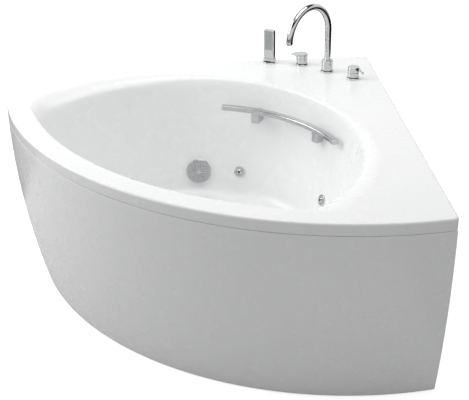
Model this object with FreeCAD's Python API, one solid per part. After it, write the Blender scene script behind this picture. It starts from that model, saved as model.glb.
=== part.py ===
"""Corner jetted bathtub, millimetres, +Z up, floor at z = 0.

Every piece is drawn in a corner frame: X runs from the room corner along the
bisector of the two walls to the middle of the curved front, Y runs across it
(positive towards the right wall) and Z is height above the floor. `place`
turns the finished piece into the stored frame, whose origin is the middle of
the square that the tub fills, on the floor, with the walls at +X and +Y.
"""
import FreeCAD, Part
import math
import os

V = FreeCAD.Vector
ROOT2 = math.sqrt(2.0)

# ---- overall body -------------------------------------------------------
SIDE = 1500.0               # room corner to the furthest front point, along each wall
RIM_HEIGHT = 710.0          # floor to the top of the deck
ARC_SETBACK = 193.0         # centre of the front arc, measured from each wall
SHELL_WALL = 5.5            # acrylic with its glass-fibre backing
RIM_BAND = 42.0             # height of the turned-down edge of the rim
RIM_ROUND = 8.0             # rounding along the top edge of the rim
TIP_ROUND = 22.0            # plan rounding where the front arc meets a wall
CORNER_ROUND = 12.0         # plan rounding in the room corner

# ---- basin --------------------------------------------------------------
BASIN_BACK = 506.0          # room corner to the basin's back edge, on the bisector
FRONT_RIM = 77.0            # width of the deck in front of the basin
END_REACH = 760.0           # bisector to the outer start of a neck rest
END_ROUND = 130.0           # plan radius of the basin's two ends at the deck
END_ROUND_GROWTH = 0.15     # how fast that radius grows with depth
FLOOR_LEVEL = 245.0         # floor of the room to the basin's floor
FLOOR_ROUND = 60.0          # rounding between the walls and the basin's floor
LIP_RUN = 20.0              # back and front lip, width
LIP_DROP = 20.0             # back and front lip, depth
NECK_RUN = 120.0            # neck rest, width
NECK_DROP = 50.0            # neck rest, depth
BACK_TILT = 14.0            # slope of the walls from upright, degrees
FRONT_TILT = 10.0
END_TILT = 18.0
PAD_BACK = 9.5              # wall surface to the seat behind a wall fitting
PAD_PROUD = 0.4             # front of a fitting's flat seat, past the curved wall
PAD_MARGIN = 4.0            # seat beyond the fitting's flange

# ---- front panel --------------------------------------------------------
PANEL_WALL = 4.0
PANEL_TUCK = 85.0           # how far the panel's foot stands behind its top
PANEL_SEAM = 2.0            # gap under the rim band
PANEL_FLUSH = 0.5           # panel face behind the rim's face
PANEL_END_GAP = 3.0         # panel ends to the walls
PANEL_FOOT_GAP = 4.0        # panel to the floor
PANEL_RETURN = 30.0         # width of the top and bottom returns
PANEL_PULL = 0.25           # travel when the panel is taken off, metres

# ---- panel catches ------------------------------------------------------
CATCH_SET = 4.0             # catches behind the panel's inner face
CATCH_TIP_GAP = 34.0        # outer catches to the ends of the front arc
CATCH_INNER_SHARE = 0.35    # angle of an inner catch, as a share of the outer one
CATCH_LENGTH = 40.0
CATCH_DEPTH = 18.0
CATCH_GAP = 0.4
STRIKE_LENGTH = 46.0
STRIKE_DEPTH = 20.0
STRIKE_THICK = 1.5

# ---- support frame ------------------------------------------------------
BOARD_THICK = 12.0
BOARD_INSET = 12.0          # board edge inside the flat of the basin's floor
TUBE = 25.0                 # square tube, outside
TUBE_WALL = 2.0
BACK_RAIL_SET = 254.0       # basin's back edge to the back rail
FRONT_RAIL_SET = 280.0      # furthest front point to the front rail
BACK_RAIL_HALF = 330.0
FRONT_RAIL_HALF = 430.0
SIDE_RAIL_Y = 260.0
SPINE_START = 130.0
OUTRIGGER_X = 1010.0
OUTRIGGER_REACH = 830.0
BACK_LEG_Y = 290.0
FRONT_LEG_Y = 400.0
LEG_INSET = 15.0            # leg centre from the end of an open tube
STUD_R = 6.0
FOOT_R = 25.0
FOOT_HEIGHT = 12.0
FOOT_SOCKET = 7.0
NUT_AF = 19.0
NUT_HEIGHT = 10.0
NUT_DROP = 14.0             # weld nut to lock nut
CAP_THICK = 3.0
STAY_Y = (-300.0, 0.0, 300.0)
STAY_WIDTH = 25.0
STAY_THICK = 4.0
STAY_GAP = 0.5

# ---- waste and overflow -------------------------------------------------
WASTE_SET = 400.0           # furthest front point to the waste
WASTE_Y = 50.0
WASTE_FLANGE_R = 36.0
WASTE_FLANGE_THICK = 3.0
WASTE_HOLE_R = 27.0
WASTE_CLEAR = 0.3
WASTE_THROAT_R = 23.0
PLUG_R = 31.0
PLUG_THICK = 5.0
PLUG_STEM_R = 4.0
PLUG_LIFT = 10.0
PLUG_REST_GAP = 0.3
WASTE_THROAT = 25.0         # flange throat under the floor
WASTE_SEAL_THICK = 3.0
WASTE_BODY_R = 34.0
WASTE_BODY_DROP = 92.0
TRAP_PIPE_R = 21.5
TRAP_BORE_R = 18.5
TRAP_BEND = 34.0
TRAP_LEGS = 72.0            # spacing of the trap's two legs
TRAP_DIP = 42.0             # axis of the trap at its lowest
TRAP_OUT_LEVEL = 118.0
TRAP_OUT_X = 890.0
TRAP_ENTRY = 15.0           # trap pipe inside the waste body
OVERFLOW_DROP = 60.0        # deck to the overflow's axis
OVERFLOW_HOLE_R = 24.0
OVERFLOW_BARREL_R = 23.7
OVERFLOW_BORE_R = 20.0
OVERFLOW_BARREL = 48.0
OVERFLOW_COVER_R = 33.0
OVERFLOW_COVER_THICK = 5.0
OVERFLOW_NUT_R = 33.0
OVERFLOW_NUT_THICK = 8.0
KNOB_R = 34.0
KNOB_THICK = 16.0
KNOB_GAP = 1.0
KNOB_STEM_R = 5.0
OVERFLOW_PIPE_R = 16.0
OVERFLOW_PIPE_BORE = 13.5
OVERFLOW_OUTLET = 33.0      # wall fitting's seat to the middle of its outlet
OVERFLOW_PIPE_DROP = 64.0   # overflow's axis to the start of its pipe
OVERFLOW_PIPE_BEND = 45.0
OVERFLOW_RUN_DROP = 65.0    # basin's floor to the run of the overflow pipe
OVERFLOW_SOCKET = 20.0      # pipe inside the overflow body's outlet
WASTE_INLET = 12.0          # stub on the waste body for the overflow pipe

# ---- hydromassage fittings ----------------------------------------------
# angle about the basin's middle seen from above, 0 on the bisector, + to the right
JET_BACK = ((-19.0, 99.0), (30.1, 127.0))   # degrees, height above the basin's floor
JET_FRONT_SHARE = 0.74      # angle of a front jet, as a share of the front arc's half
JET_FRONT_RISE = 100.0
JET_FLANGE_R = 22.0
JET_FLANGE_THICK = 2.0
JET_BARREL_R = 19.0
JET_BORE_R = 15.5
JET_HOLE_CLEAR = 0.4
JET_RING_R = 22.5
JET_RING_FACE = 6.5
JET_RING_GAP = 0.3
JET_RING_SLEEVE_R = 15.1
JET_BALL_R = 13.5
JET_BALL_CLEAR = 0.4
JET_BALL_FRONT = 11.0
JET_BALL_BACK = 8.5
JET_NOZZLE_R = 4.5
JET_NUT_R = 27.0
JET_NUT_THICK = 8.0
JET_STUB_R = 10.0
SUCTION_ANGLE = -37.7
SUCTION_RISE = 87.3         # above the basin's floor
SUCTION_FLANGE_R = 50.0
SUCTION_FLANGE_THICK = 3.0
SUCTION_BARREL_R = 41.0
SUCTION_BORE_R = 37.0
SUCTION_NUT_R = 54.0
SUCTION_NUT_THICK = 9.0
SUCTION_AXIS = 50.0         # suction pipe behind the fitting's seat
GRILLE_R = 52.0
GRILLE_THICK = 6.0
GRILLE_LIP = 4.0            # overlap of the grille's skirt over the body's flange edge
GRILLE_ROWS = ((14.0, 11), (20.0, 16), (26.0, 21), (32.0, 26), (38.0, 31), (44.0, 36))
GRILLE_HOLE_R = 1.9
SCREW_R = 8.0
SCREW_HEAD = 3.5
SCREW_SHANK_R = 3.0
PIPE_R = 25.0               # suction line
PIPE_BORE_R = 22.0
PIPE_BEND = 40.0
RING_R = 16.0               # pressure line behind the wall
RING_BORE_R = 13.5
RISER_R = 15.0              # pipe from the pump up to the pressure line
RISER_BORE_R = 12.5
RING_RISE = 40.0            # above the basin's floor
RING_OFFSET = 52.0
RING_START = -27.0          # angle of its closed end at the back
RING_END = -22.0            # angle of its closed end at the front
RING_PLUG = 0.4             # closed stretch at each end, degrees
RISER_ENTRY = 6.0
BUTTON_ANGLE = -5.0
BUTTON_DROP = 55.0          # below the deck
BUTTON_BEZEL_R = 20.0
BUTTON_BEZEL_THICK = 5.0
BUTTON_BARREL_R = 14.0
BUTTON_R = 12.0
BUTTON_BORE_CLEAR = 0.3
BUTTON_PROUD = 3.0
BUTTON_TRAVEL = 3.0
BUTTON_BARREL = 38.0
BUTTON_NUT_R = 20.0
BUTTON_NUT_THICK = 6.0
SPIGOT_R = 3.0
SPIGOT_LENGTH = 12.0

# ---- pump ---------------------------------------------------------------
PUMP_Y = -130.0
PUMP_LEVEL = 130.0
VOLUTE_R = 75.0
VOLUTE_THICK = 60.0
INLET_R = 30.0
INLET_LENGTH = 20.0
MOTOR_R = 62.0
MOTOR_LENGTH = 190.0
MOTOR_FINS = 12
FIN_HEIGHT = 5.0
FIN_THICK = 3.0
COWL_R = 66.0
COWL_LENGTH = 34.0
PUMP_PLATE = 4.0
PUMP_FOOT_INSET = 20.0
PUMP_PLATE_WIDTH = 150.0
PUMP_PLATE_LENGTH = 210.0
PUMP_FOOT_R = 14.0
PUMP_FOOT_HEIGHT = 10.0
CRADLE_LENGTH = 40.0
BOX_LENGTH = 70.0
BOX_WIDTH = 60.0
BOX_HEIGHT = 34.0
GLAND_R = 9.0
GLAND_BORE_R = 4.5
GLAND_LENGTH = 20.0

# ---- grab bar -----------------------------------------------------------
BAR_DROP = 90.0             # deck to the bar's middle
BAR_STAND_OFF = 47.4        # wall to the bar's middle, where the two arcs are closest to parallel
BAR_CENTRE_X = 2.3          # centre of the bar's arc from the centre of the wall's arc
BAR_CENTRE_Y = 39.3
BAR_WIDTH = 28.0
BAR_HEIGHT = 19.0
BAR_ROUND = 4.2
BAR_FROM = -29.4            # ends of the bar about the centre of its arc, degrees
BAR_TO = 28.4
POST_ANGLES = (-15.4, 14.4)
POST_WIDTH = 30.0
POST_DROP = 42.5            # below the bar's underside
POST_FRONT = 8.0            # post's face past the bar's middle line
POST_ROUND = 3.0
POST_BOLT_TAIL = 26.0       # bolt past the wall's inner face
POST_NUT_AT = 14.0          # nut from the wall's inner face
POST_BURIED = 30.0          # rough length of a post behind the wall, before it is cut to it
POST_BOLT_R = 4.0
POST_BOLT_LENGTH = 16.0
POST_NUT_R = 10.0
POST_NUT_THICK = 6.0

# ---- deck fittings ------------------------------------------------------
TAP_BACK = 261.5            # room corner to the row of taps, along the bisector
TAP_SIDE = -21.0            # spout from the bisector
HANDLE_PITCH = 130.5        # spout to each handle
FLANGE_R = 27.0
FLANGE_THICK = 6.0
ROSE_ROUND = 2.5
GROOVE_R = 21.0
GROOVE_HEIGHT = 3.0
BODY_R = 23.0
BODY_TOP = 50.0             # top of a tap body above the deck
EDGE = 1.2                  # small rounding on turned chrome pieces
DECK_HOLE_R = 16.5
SHANK_R = 16.0
SHANK_LENGTH = 60.0
SHANK_ENTRY = 8.0           # how far a shank reaches into the body above it
DECK_SEAL_R = 25.0
DECK_SEAL_THICK = 2.0
DECK_NUT_AF = 46.0
DECK_NUT_THICK = 9.0
SPOUT_STEM_R = 9.6
SPOUT_BORE_CLEAR = 0.06
SPOUT_STEM = 38.0
BODY_WAY_R = 7.0            # water way under the stem
STEM_WAY_R = 6.5
COLLAR_R = 14.0
COLLAR_HEIGHT = 6.0
COLLAR_GAP = 0.4
SPOUT_R = 12.5
SPOUT_BORE_R = 10.5
SPOUT_RISE = 176.0          # deck to the start of the bend
SPOUT_BEND = 122.0
SPOUT_SWEEP = 180.0
SPOUT_TURN = -2.5           # heading from the bisector, degrees
AERATOR_R = 10.3
AERATOR_LENGTH = 14.0
AERATOR_PROUD = 2.0
AERATOR_PLATE = 3.0
AERATOR_WALL = 2.5
AERATOR_HOLE_R = 0.8
AERATOR_RINGS = ((2.4, 6), (5.2, 12))       # radius of a ring of holes, how many
LOWER_TOP = 28.0            # fixed part of a handle body, above the deck
TURN_GAP = 0.4
TURN_NECK = 12.0            # fixed neck on which a handle turns
LEVER_THICK = 5.0
LEVER_OUT = 20.0
LEVER_ROOT = 26.0
LEVER_TIP = 14.0
LEVER_LIFT_GAP = 0.8
LEVER_ROUND = 4.0
LEVER_HEADING = -45.0       # along the left wall, away from the corner
PIN_LEVEL = 38.0            # root of the diverter's side pin above the deck
PIN_R = 2.6
PIN_LENGTH = 17.0           # body to the pin's tip
PIN_ROOT = 5.0
PIN_DIP = 42.0              # slope of the pin, degrees
PIN_HEADING = 118.0
PIN_TIP_R = 4.6
PIN_TIP = 7.0
PIN_BOSS = 12.0
PIN_BOSS_PROUD = 3.5
VALVE_R = 24.0
VALVE_HEIGHT = 70.0
VALVE_DROP = 4.0            # valve block under the deck nut
TAIL_R = 10.3
TAIL_BORE_R = 7.0
TAIL_LENGTH = 22.0
TAIL_PITCH = 26.0

# ---- hand shower --------------------------------------------------------
SHOWER_BACK = 326.0
SHOWER_SIDE = -274.0
SHOWER_TURN = 18.0          # face turned towards the basin's middle
HANDSET_WIDTH = 44.0
HANDSET_DEPTH = 24.0
HANDSET_BASE = 12.0         # handset's foot above the deck
HANDSET_TOP = 142.0
HANDSET_ROUND = 5.0
FACE_WIDTH = 34.0
FACE_HEIGHT = 80.0
FACE_THICK = 1.6
FACE_ROUND = 3.0
FACE_LEVEL = 66.0           # lower edge of the spray face above the handset's foot
NOZZLE_R = 1.1
NOZZLE_PROUD = 1.0
NOZZLE_COLUMNS = 4
NOZZLE_ROWS = 9
HOLDER_TOP = 20.0
HOLDER_WALL = 3.0
HOLDER_CLEAR = 0.4
HOSE_NIPPLE_R = 9.0
HOSE_NIPPLE = 26.0
HOSE_BORE_R = 12.0

# ---- worked out ---------------------------------------------------------
ARC_X = ARC_SETBACK * ROOT2
FRONT_R = SIDE - ARC_SETBACK
DEPTH = RIM_HEIGHT - FLOOR_LEVEL
TIP_ANGLE = 45.0 + math.degrees(math.asin(ARC_SETBACK / FRONT_R))
CATCH_OUTER = TIP_ANGLE - math.degrees(CATCH_TIP_GAP / FRONT_R)
CATCH_ANGLES = (-CATCH_OUTER, -CATCH_OUTER * CATCH_INNER_SHARE, CATCH_OUTER * CATCH_INNER_SHARE, CATCH_OUTER)
BACK_RAIL_X = BASIN_BACK + BACK_RAIL_SET
FRONT_RAIL_X = ARC_X + FRONT_R - FRONT_RAIL_SET
WASTE_X = ARC_X + FRONT_R - WASTE_SET
BAR_LEVEL = RIM_HEIGHT - BAR_DROP
SUCTION_LEVEL = FLOOR_LEVEL + SUCTION_RISE
RING_LEVEL = FLOOR_LEVEL + RING_RISE
OVERFLOW_LEVEL = RIM_HEIGHT - OVERFLOW_DROP
OVERFLOW_PIPE_TOP = OVERFLOW_LEVEL - OVERFLOW_PIPE_DROP
OVERFLOW_RUN_LEVEL = FLOOR_LEVEL - OVERFLOW_RUN_DROP
UNDER_DECK = RIM_HEIGHT - SHELL_WALL
BAND_FOOT = RIM_HEIGHT - RIM_BAND
BOARD_TOP = FLOOR_LEVEL - SHELL_WALL
RAIL_TOP = BOARD_TOP - BOARD_THICK
RAIL_FOOT = RAIL_TOP - TUBE
PANEL_TOP = BAND_FOOT - PANEL_SEAM
PANEL_R = FRONT_R - PANEL_FLUSH
PANEL_HALF = 75.0           # half of the turned panel before it is cut to the room, degrees
PANEL_SWEEP = (PANEL_TOP ** 2 + PANEL_TUCK ** 2) / (2.0 * PANEL_TUCK)


# ---- small tools --------------------------------------------------------
def box(x0, x1, y0, y1, z0, z1):
    """Upright box between two opposite corners."""
    return Part.makeBox(x1 - x0, y1 - y0, z1 - z0, V(x0, y0, z0))


def rod(radius, z0, z1, x=0.0, y=0.0):
    """Upright cylinder."""
    return Part.makeCylinder(radius, z1 - z0, V(x, y, z0))


def sleeve(outer, inner, z0, z1, x=0.0, y=0.0):
    """Upright tube, open at both ends."""
    return rod(outer, z0, z1, x, y).cut(rod(inner, z0 - 1.0, z1 + 1.0, x, y))


def join(shapes):
    """One solid from pieces that overlap or touch."""
    result = shapes[0]
    if len(shapes) > 1:
        result = shapes[0].multiFuse(shapes[1:])
    return result.removeSplitter()


def group(shapes):
    """Separate solids kept together in one node."""
    return Part.makeCompound(shapes)


def hex_nut(across, bore, z0, z1, x=0.0, y=0.0):
    """Upright hexagon nut."""
    radius = across / math.sqrt(3.0)
    corners = [V(x + radius * math.cos(math.radians(60.0 * k)),
                 y + radius * math.sin(math.radians(60.0 * k)), z0) for k in range(7)]
    body = Part.Face(Part.makePolygon(corners)).extrude(V(0, 0, z1 - z0))
    return body.cut(rod(bore, z0 - 1.0, z1 + 1.0, x, y))


def turned(profile):
    """Solid of revolution about Z from (radius, height) points."""
    points = [V(r, 0, z) for r, z in profile]
    return Part.Face(Part.makePolygon(points + points[:1])).revolve(V(0, 0, 0), V(0, 0, 1), 360.0)


def soften(shape, radius, test):
    """Round the edges that pass a test."""
    edges = [edge for edge in shape.Edges if test(edge)]
    return shape.makeFillet(radius, edges) if edges else shape


def is_upright(edge):
    """True for a straight vertical edge."""
    box_ = edge.BoundBox
    return box_.XLength < 1e-6 and box_.YLength < 1e-6


def lies_at(level):
    """Test for edges that lie flat at one height."""
    return lambda edge: abs(edge.BoundBox.ZMin - level) < 1e-5 and abs(edge.BoundBox.ZMax - level) < 1e-5


def route(points, bend):
    """Straight runs joined by tangent arcs of one radius."""
    edges = []
    start = points[0]
    for before, corner, after in zip(points, points[1:], points[2:]):
        to_prev = (before - corner).normalize()
        to_next = (after - corner).normalize()
        half = math.acos(max(-1.0, min(1.0, to_prev.dot(to_next)))) / 2.0
        reach = bend / math.tan(half)
        enter = corner + to_prev * reach
        leave = corner + to_next * reach
        middle_dir = (to_prev + to_next).normalize()
        middle = corner + middle_dir * (bend / math.sin(half) - bend)
        edges.append(Part.LineSegment(start, enter).toShape())
        edges.append(Part.Arc(enter, middle, leave).toShape())
        start = leave
    edges.append(Part.LineSegment(start, points[-1]).toShape())
    return Part.Wire(edges)


def swept(path, start, direction, radius):
    """Round bar along a path."""
    circle = Part.Wire([Part.Circle(start, direction, radius).toShape()])
    return path.makePipeShell([circle], True, False)


def pipe(points, bend, outer, inner):
    """Bent tube with open ends."""
    path = route(points, bend)
    along = points[1] - points[0]
    return swept(path, points[0], along, outer).cut(swept(path, points[0], along, inner))


def place(shape):
    """From the corner frame to the stored frame."""
    result = shape.copy()
    result.Placement = FreeCAD.Placement(
        V(SIDE / 2.0, SIDE / 2.0, 0), FreeCAD.Rotation(V(0, 0, 1), -135.0)).multiply(result.Placement)
    return result


# ---- plan of the rim ----------------------------------------------------
def plan_prism(inset, z0, z1, tip_round, corner_round):
    """The rim's plan, drawn in by `inset`, between two heights."""
    corner = inset * ROOT2
    radius = FRONT_R - inset
    total = ARC_X + corner
    root = math.sqrt(total ** 2 - 2.0 * (ARC_X ** 2 + corner ** 2 - radius ** 2))
    tip_x = (total + root) / 2.0
    tip_y = tip_x - corner
    heart = V(corner, 0, z0)
    right = V(tip_x, tip_y, z0)
    left = V(tip_x, -tip_y, z0)
    outline = Part.Wire([
        Part.LineSegment(heart, right).toShape(),
        Part.Arc(right, V(ARC_X + radius, 0, z0), left).toShape(),
        Part.LineSegment(left, heart).toShape()])
    prism = Part.Face(outline).extrude(V(0, 0, z1 - z0))
    prism = soften(prism, tip_round, lambda e: is_upright(e) and e.BoundBox.XMin > ARC_X)
    return soften(prism, corner_round, lambda e: is_upright(e) and e.BoundBox.XMin < ARC_X / 4.0
                  and abs(e.BoundBox.YMin) < 1e-6)


# ---- plan of the basin --------------------------------------------------
def inset_at(depth, run, drop, tilt):
    """How far a wall has come in at a depth: lip, straight slope, floor rounding."""
    slope = math.tan(math.radians(tilt))
    turn = math.atan2(run, drop * slope)
    lip_end = drop * (1.0 - math.cos(turn))
    floor_start = DEPTH - FLOOR_ROUND * (1.0 - math.sin(math.radians(tilt)))
    if depth <= lip_end:
        return run * math.sqrt(max(0.0, 1.0 - (1.0 - depth / drop) ** 2))
    wall = run * math.sin(turn)
    if depth <= floor_start:
        return wall + (depth - lip_end) * slope
    wall += (floor_start - lip_end) * slope + FLOOR_ROUND * math.cos(math.radians(tilt))
    return wall - math.sqrt(max(0.0, FLOOR_ROUND ** 2 - (depth - DEPTH + FLOOR_ROUND) ** 2))


def basin_at(depth):
    """(back x, front arc radius, end reach, end radius) of the basin at a depth."""
    back = BASIN_BACK + inset_at(depth, LIP_RUN, LIP_DROP, BACK_TILT)
    front = FRONT_R - FRONT_RIM - inset_at(depth, LIP_RUN, LIP_DROP, FRONT_TILT)
    reach = END_REACH - inset_at(depth, NECK_RUN, NECK_DROP, END_TILT)
    return back, front, reach, END_ROUND + END_ROUND_GROWTH * depth


def lens_points(depth, grow):
    """Arc centres, radii and tangent points of the basin's outline, grown by `grow`."""
    back, front_r, back_r, end_r = basin_at(depth)
    back_x = back + back_r
    shift = back_x - ARC_X
    front_gap = front_r - end_r
    back_gap = back_r - end_r
    end_x = ARC_X + (front_gap ** 2 - back_gap ** 2 + shift ** 2) / (2.0 * shift)
    end_y = math.sqrt(front_gap ** 2 - (end_x - ARC_X) ** 2)
    front_dir = V(end_x - ARC_X, end_y, 0).normalize()
    back_dir = V(end_x - back_x, end_y, 0).normalize()
    centre = V(end_x, end_y, 0)
    return {
        "back_x": back_x, "back_r": back_r + grow, "front_r": front_r + grow,
        "front_half": math.degrees(math.atan2(end_y, end_x - ARC_X)),
        "front_touch": centre + front_dir * (end_r + grow),
        "back_touch": centre + back_dir * (end_r + grow),
        "end_middle": centre + (front_dir + back_dir).normalize() * (end_r + grow)}


def lens_edges(depth, grow, level):
    """The four arcs of the basin's outline: back, right end, front, left end."""
    lens = lens_points(depth, grow)
    up = V(0, 0, level)
    flip = lambda p: V(p.x, -p.y, p.z)
    back_mid = V(lens["back_x"] - lens["back_r"], 0, 0)
    front_mid = V(ARC_X + lens["front_r"], 0, 0)
    arcs = [(flip(lens["back_touch"]), back_mid, lens["back_touch"]),
            (lens["back_touch"], lens["end_middle"], lens["front_touch"]),
            (lens["front_touch"], front_mid, flip(lens["front_touch"])),
            (flip(lens["front_touch"]), flip(lens["end_middle"]), flip(lens["back_touch"]))]
    return [Part.Arc(a + up, b + up, c + up).toShape() for a, b, c in arcs]


def section_depths():
    """Depths of the outlines that carry the basin's surface."""
    lip = [0.0, 0.03, 0.1, 0.22, 0.4, 0.62, 0.9]
    floor_turn = [1.0, 0.75, 0.5, 0.28, 0.12, 0.03, 0.0]
    depths = [NECK_DROP * share for share in lip]
    straight = DEPTH - FLOOR_ROUND - depths[-1]
    depths += [depths[-1] + straight * share for share in (0.3, 0.65)]
    return depths + [DEPTH - FLOOR_ROUND * share for share in floor_turn]


def bowl(grow):
    """The basin as a solid; `grow` moves its surface outwards and down."""
    wires = [Part.Wire(lens_edges(depth, grow, RIM_HEIGHT - depth - grow)) for depth in section_depths()]
    return Part.makeLoft(wires, True, False)


# ---- seats for fittings -------------------------------------------------
class Seat:
    """A flat seat on the basin's wall: local Z points into the basin."""

    def __init__(self, angle, level, flange_r, front=False):
        depth = RIM_HEIGHT - level
        turn = math.radians(angle)
        lens = lens_points(depth, 0.0)
        if front:
            radius = lens["front_r"]
            out = V(math.cos(turn), math.sin(turn), 0)
            centre = V(ARC_X, 0, level)
            slope = math.tan(math.radians(FRONT_TILT))
        else:
            radius = lens["back_r"]
            out = V(-math.cos(turn), math.sin(turn), 0)
            centre = V(lens["back_x"], 0, level)
            slope = (math.tan(math.radians(BACK_TILT)) * math.cos(turn)
                     + math.tan(math.radians(END_TILT)) * (1.0 - math.cos(turn)))
        tilt = math.atan(slope)
        self.normal = V(-out.x * math.cos(tilt), -out.y * math.cos(tilt), math.sin(tilt))
        self.out = out
        self.pad_r = flange_r + PAD_MARGIN
        self.proud = self.pad_r ** 2 / (2.0 * radius) + PAD_PROUD
        self.grip = self.proud + PAD_BACK
        self.origin = centre + out * radius + self.normal * self.proud
        across = V(0, 0, 1).cross(self.normal).normalize()
        up = self.normal.cross(across)
        self.placement = FreeCAD.Placement(FreeCAD.Matrix(
            across.x, up.x, self.normal.x, self.origin.x,
            across.y, up.y, self.normal.y, self.origin.y,
            across.z, up.z, self.normal.z, self.origin.z,
            0, 0, 0, 1))

    def put(self, shape):
        """A shape drawn on local Z, moved to the seat."""
        result = shape.copy()
        result.Placement = self.placement.multiply(result.Placement)
        return result

    def pad(self):
        """Flat boss moulded into the wall."""
        return self.put(rod(self.pad_r, -self.grip, 0.0))

    def at(self, behind):
        """Point on the fitting's axis, behind the seat."""
        return self.origin - self.normal * behind


def ring_axis(front):
    """Centre and radius of the pressure line's plan at the back or the front."""
    lens = lens_points(RIM_HEIGHT - RING_LEVEL, RING_OFFSET)
    if front:
        return V(ARC_X, 0, 0), lens["front_r"]
    return V(lens["back_x"], 0, 0), lens["back_r"]


def stub_reach(seat, front):
    """Distance behind a seat at which its axis passes over the pressure line."""
    centre, radius = ring_axis(front)
    offset = V(seat.origin.x - centre.x, seat.origin.y - centre.y, 0)
    along = offset.dot(seat.out)
    outward = -along + math.sqrt(along ** 2 - offset.dot(offset) + radius ** 2)
    return outward / math.hypot(seat.normal.x, seat.normal.y)


JET_FRONT_ANGLE = JET_FRONT_SHARE * lens_points(DEPTH - JET_FRONT_RISE, 0.0)["front_half"]
JETS = ([(Seat(angle, FLOOR_LEVEL + rise, JET_FLANGE_R), False) for angle, rise in JET_BACK]
        + [(Seat(side * JET_FRONT_ANGLE, FLOOR_LEVEL + JET_FRONT_RISE, JET_FLANGE_R, True), True)
           for side in (-1, 1)])
SUCTION = Seat(SUCTION_ANGLE, SUCTION_LEVEL, SUCTION_FLANGE_R)
WASTE_ANGLE = math.degrees(math.asin(WASTE_Y / (FRONT_R - FRONT_RIM)))
OVERFLOW = Seat(WASTE_ANGLE, OVERFLOW_LEVEL, OVERFLOW_COVER_R, True)
OVERFLOW_PIPE_X = OVERFLOW.at(OVERFLOW_OUTLET).x
BUTTON = Seat(BUTTON_ANGLE, RIM_HEIGHT - BUTTON_DROP, BUTTON_BEZEL_R, True)
TAPS = {"spout": (TAP_BACK, TAP_SIDE), "mixer": (TAP_BACK, TAP_SIDE - HANDLE_PITCH),
        "diverter": (TAP_BACK, TAP_SIDE + HANDLE_PITCH), "shower": (SHOWER_BACK, SHOWER_SIDE)}


def bar_axis():
    """Centre and radius of the grab bar's arc in plan."""
    lens = lens_points(BAR_DROP, 0.0)
    centre = V(lens["back_x"] + BAR_CENTRE_X, BAR_CENTRE_Y, BAR_LEVEL)
    return centre, lens["back_r"] - BAR_STAND_OFF


def post_seat(angle):
    """Point, inward direction and wall distance for one grab-bar post."""
    centre, radius = bar_axis()
    turn = math.radians(angle)
    inward = V(math.cos(turn), -math.sin(turn), 0)
    return centre - inward * radius, inward


# ---- shell --------------------------------------------------------------
def rim_and_deck():
    """Deck with its turned-down band."""
    block = plan_prism(0.0, BAND_FOOT, RIM_HEIGHT, TIP_ROUND, CORNER_ROUND)
    block = soften(block, RIM_ROUND, lies_at(RIM_HEIGHT))
    hollow = plan_prism(SHELL_WALL, BAND_FOOT - 1.0, UNDER_DECK,
                        TIP_ROUND - SHELL_WALL, CORNER_ROUND - SHELL_WALL)
    return block.cut(hollow)


def wall_bores():
    """Everything drilled through the shell."""
    bores = [seat.put(rod(JET_BARREL_R + JET_HOLE_CLEAR, -40.0, 20.0)) for seat, _ in JETS]
    bores.append(SUCTION.put(rod(SUCTION_BARREL_R + JET_HOLE_CLEAR, -40.0, 20.0)))
    bores.append(OVERFLOW.put(rod(OVERFLOW_HOLE_R, -40.0, 20.0)))
    bores.append(BUTTON.put(rod(BUTTON_BARREL_R + JET_HOLE_CLEAR, -40.0, 20.0)))
    bores.append(rod(WASTE_HOLE_R, BOARD_TOP - 5.0, FLOOR_LEVEL + 5.0, WASTE_X, WASTE_Y))
    bores += [rod(DECK_HOLE_R, UNDER_DECK - 2.0, RIM_HEIGHT + 2.0, x, y) for x, y in TAPS.values()]
    bores += [post_bolt_bore(angle) for angle in POST_ANGLES]
    return bores


def post_level():
    """Height of the bolts that hold the posts."""
    return BAR_LEVEL - BAR_HEIGHT / 2.0 - POST_DROP / 2.0


def post_bolt_bore(angle):
    """Hole through the wall behind a post."""
    return post_bolt(angle, POST_BOLT_R + 0.5, -10.0, 60.0)


def post_bolt(angle, radius, start, end):
    """Horizontal rod along a post's axis; 0 is the wall's inner face."""
    face, inward = post_face(angle)
    return Part.makeCylinder(radius, end - start, face - inward * end, inward)


def post_face(angle):
    """Where the post's axis meets the wall's inner face."""
    lens = lens_points(RIM_HEIGHT - post_level(), 0.0)
    centre, _ = bar_axis()
    turn = math.radians(angle)
    inward = V(math.cos(turn), -math.sin(turn), 0)
    offset = V(centre.x - lens["back_x"], centre.y, 0)
    along = offset.dot(inward)
    reach = along + math.sqrt(along ** 2 - offset.dot(offset) + lens["back_r"] ** 2)
    return V(centre.x, centre.y, post_level()) - inward * reach, inward


def tub_shell():
    """Moulded shell: deck, band, basin, seats and holes."""
    room = bowl(0.0)
    deck = rim_and_deck().cut(room)
    wall = bowl(SHELL_WALL).cut(room)
    pads = [seat.pad() for seat, _ in JETS] + [SUCTION.pad(), OVERFLOW.pad(), BUTTON.pad()]
    return deck.multiFuse([wall] + pads).cut(wall_bores())


# ---- front panel --------------------------------------------------------
def panel_face_r(level, behind=0.0):
    """Radius of the panel's outer face at a height, or of a surface behind it."""
    return PANEL_R - PANEL_SWEEP + math.sqrt((PANEL_SWEEP - behind) ** 2 - (PANEL_TOP - level) ** 2)


def room_quadrant(gap):
    """The space between the two walls, kept off them by a gap."""
    size = 3.0 * SIDE
    block = Part.makeBox(size, size, size, V(0, 0, -SIDE))
    block.rotate(V(0, 0, 0), V(0, 0, 1), -45.0)
    block.translate(V(gap * ROOT2, 0, 0))
    return block


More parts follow.
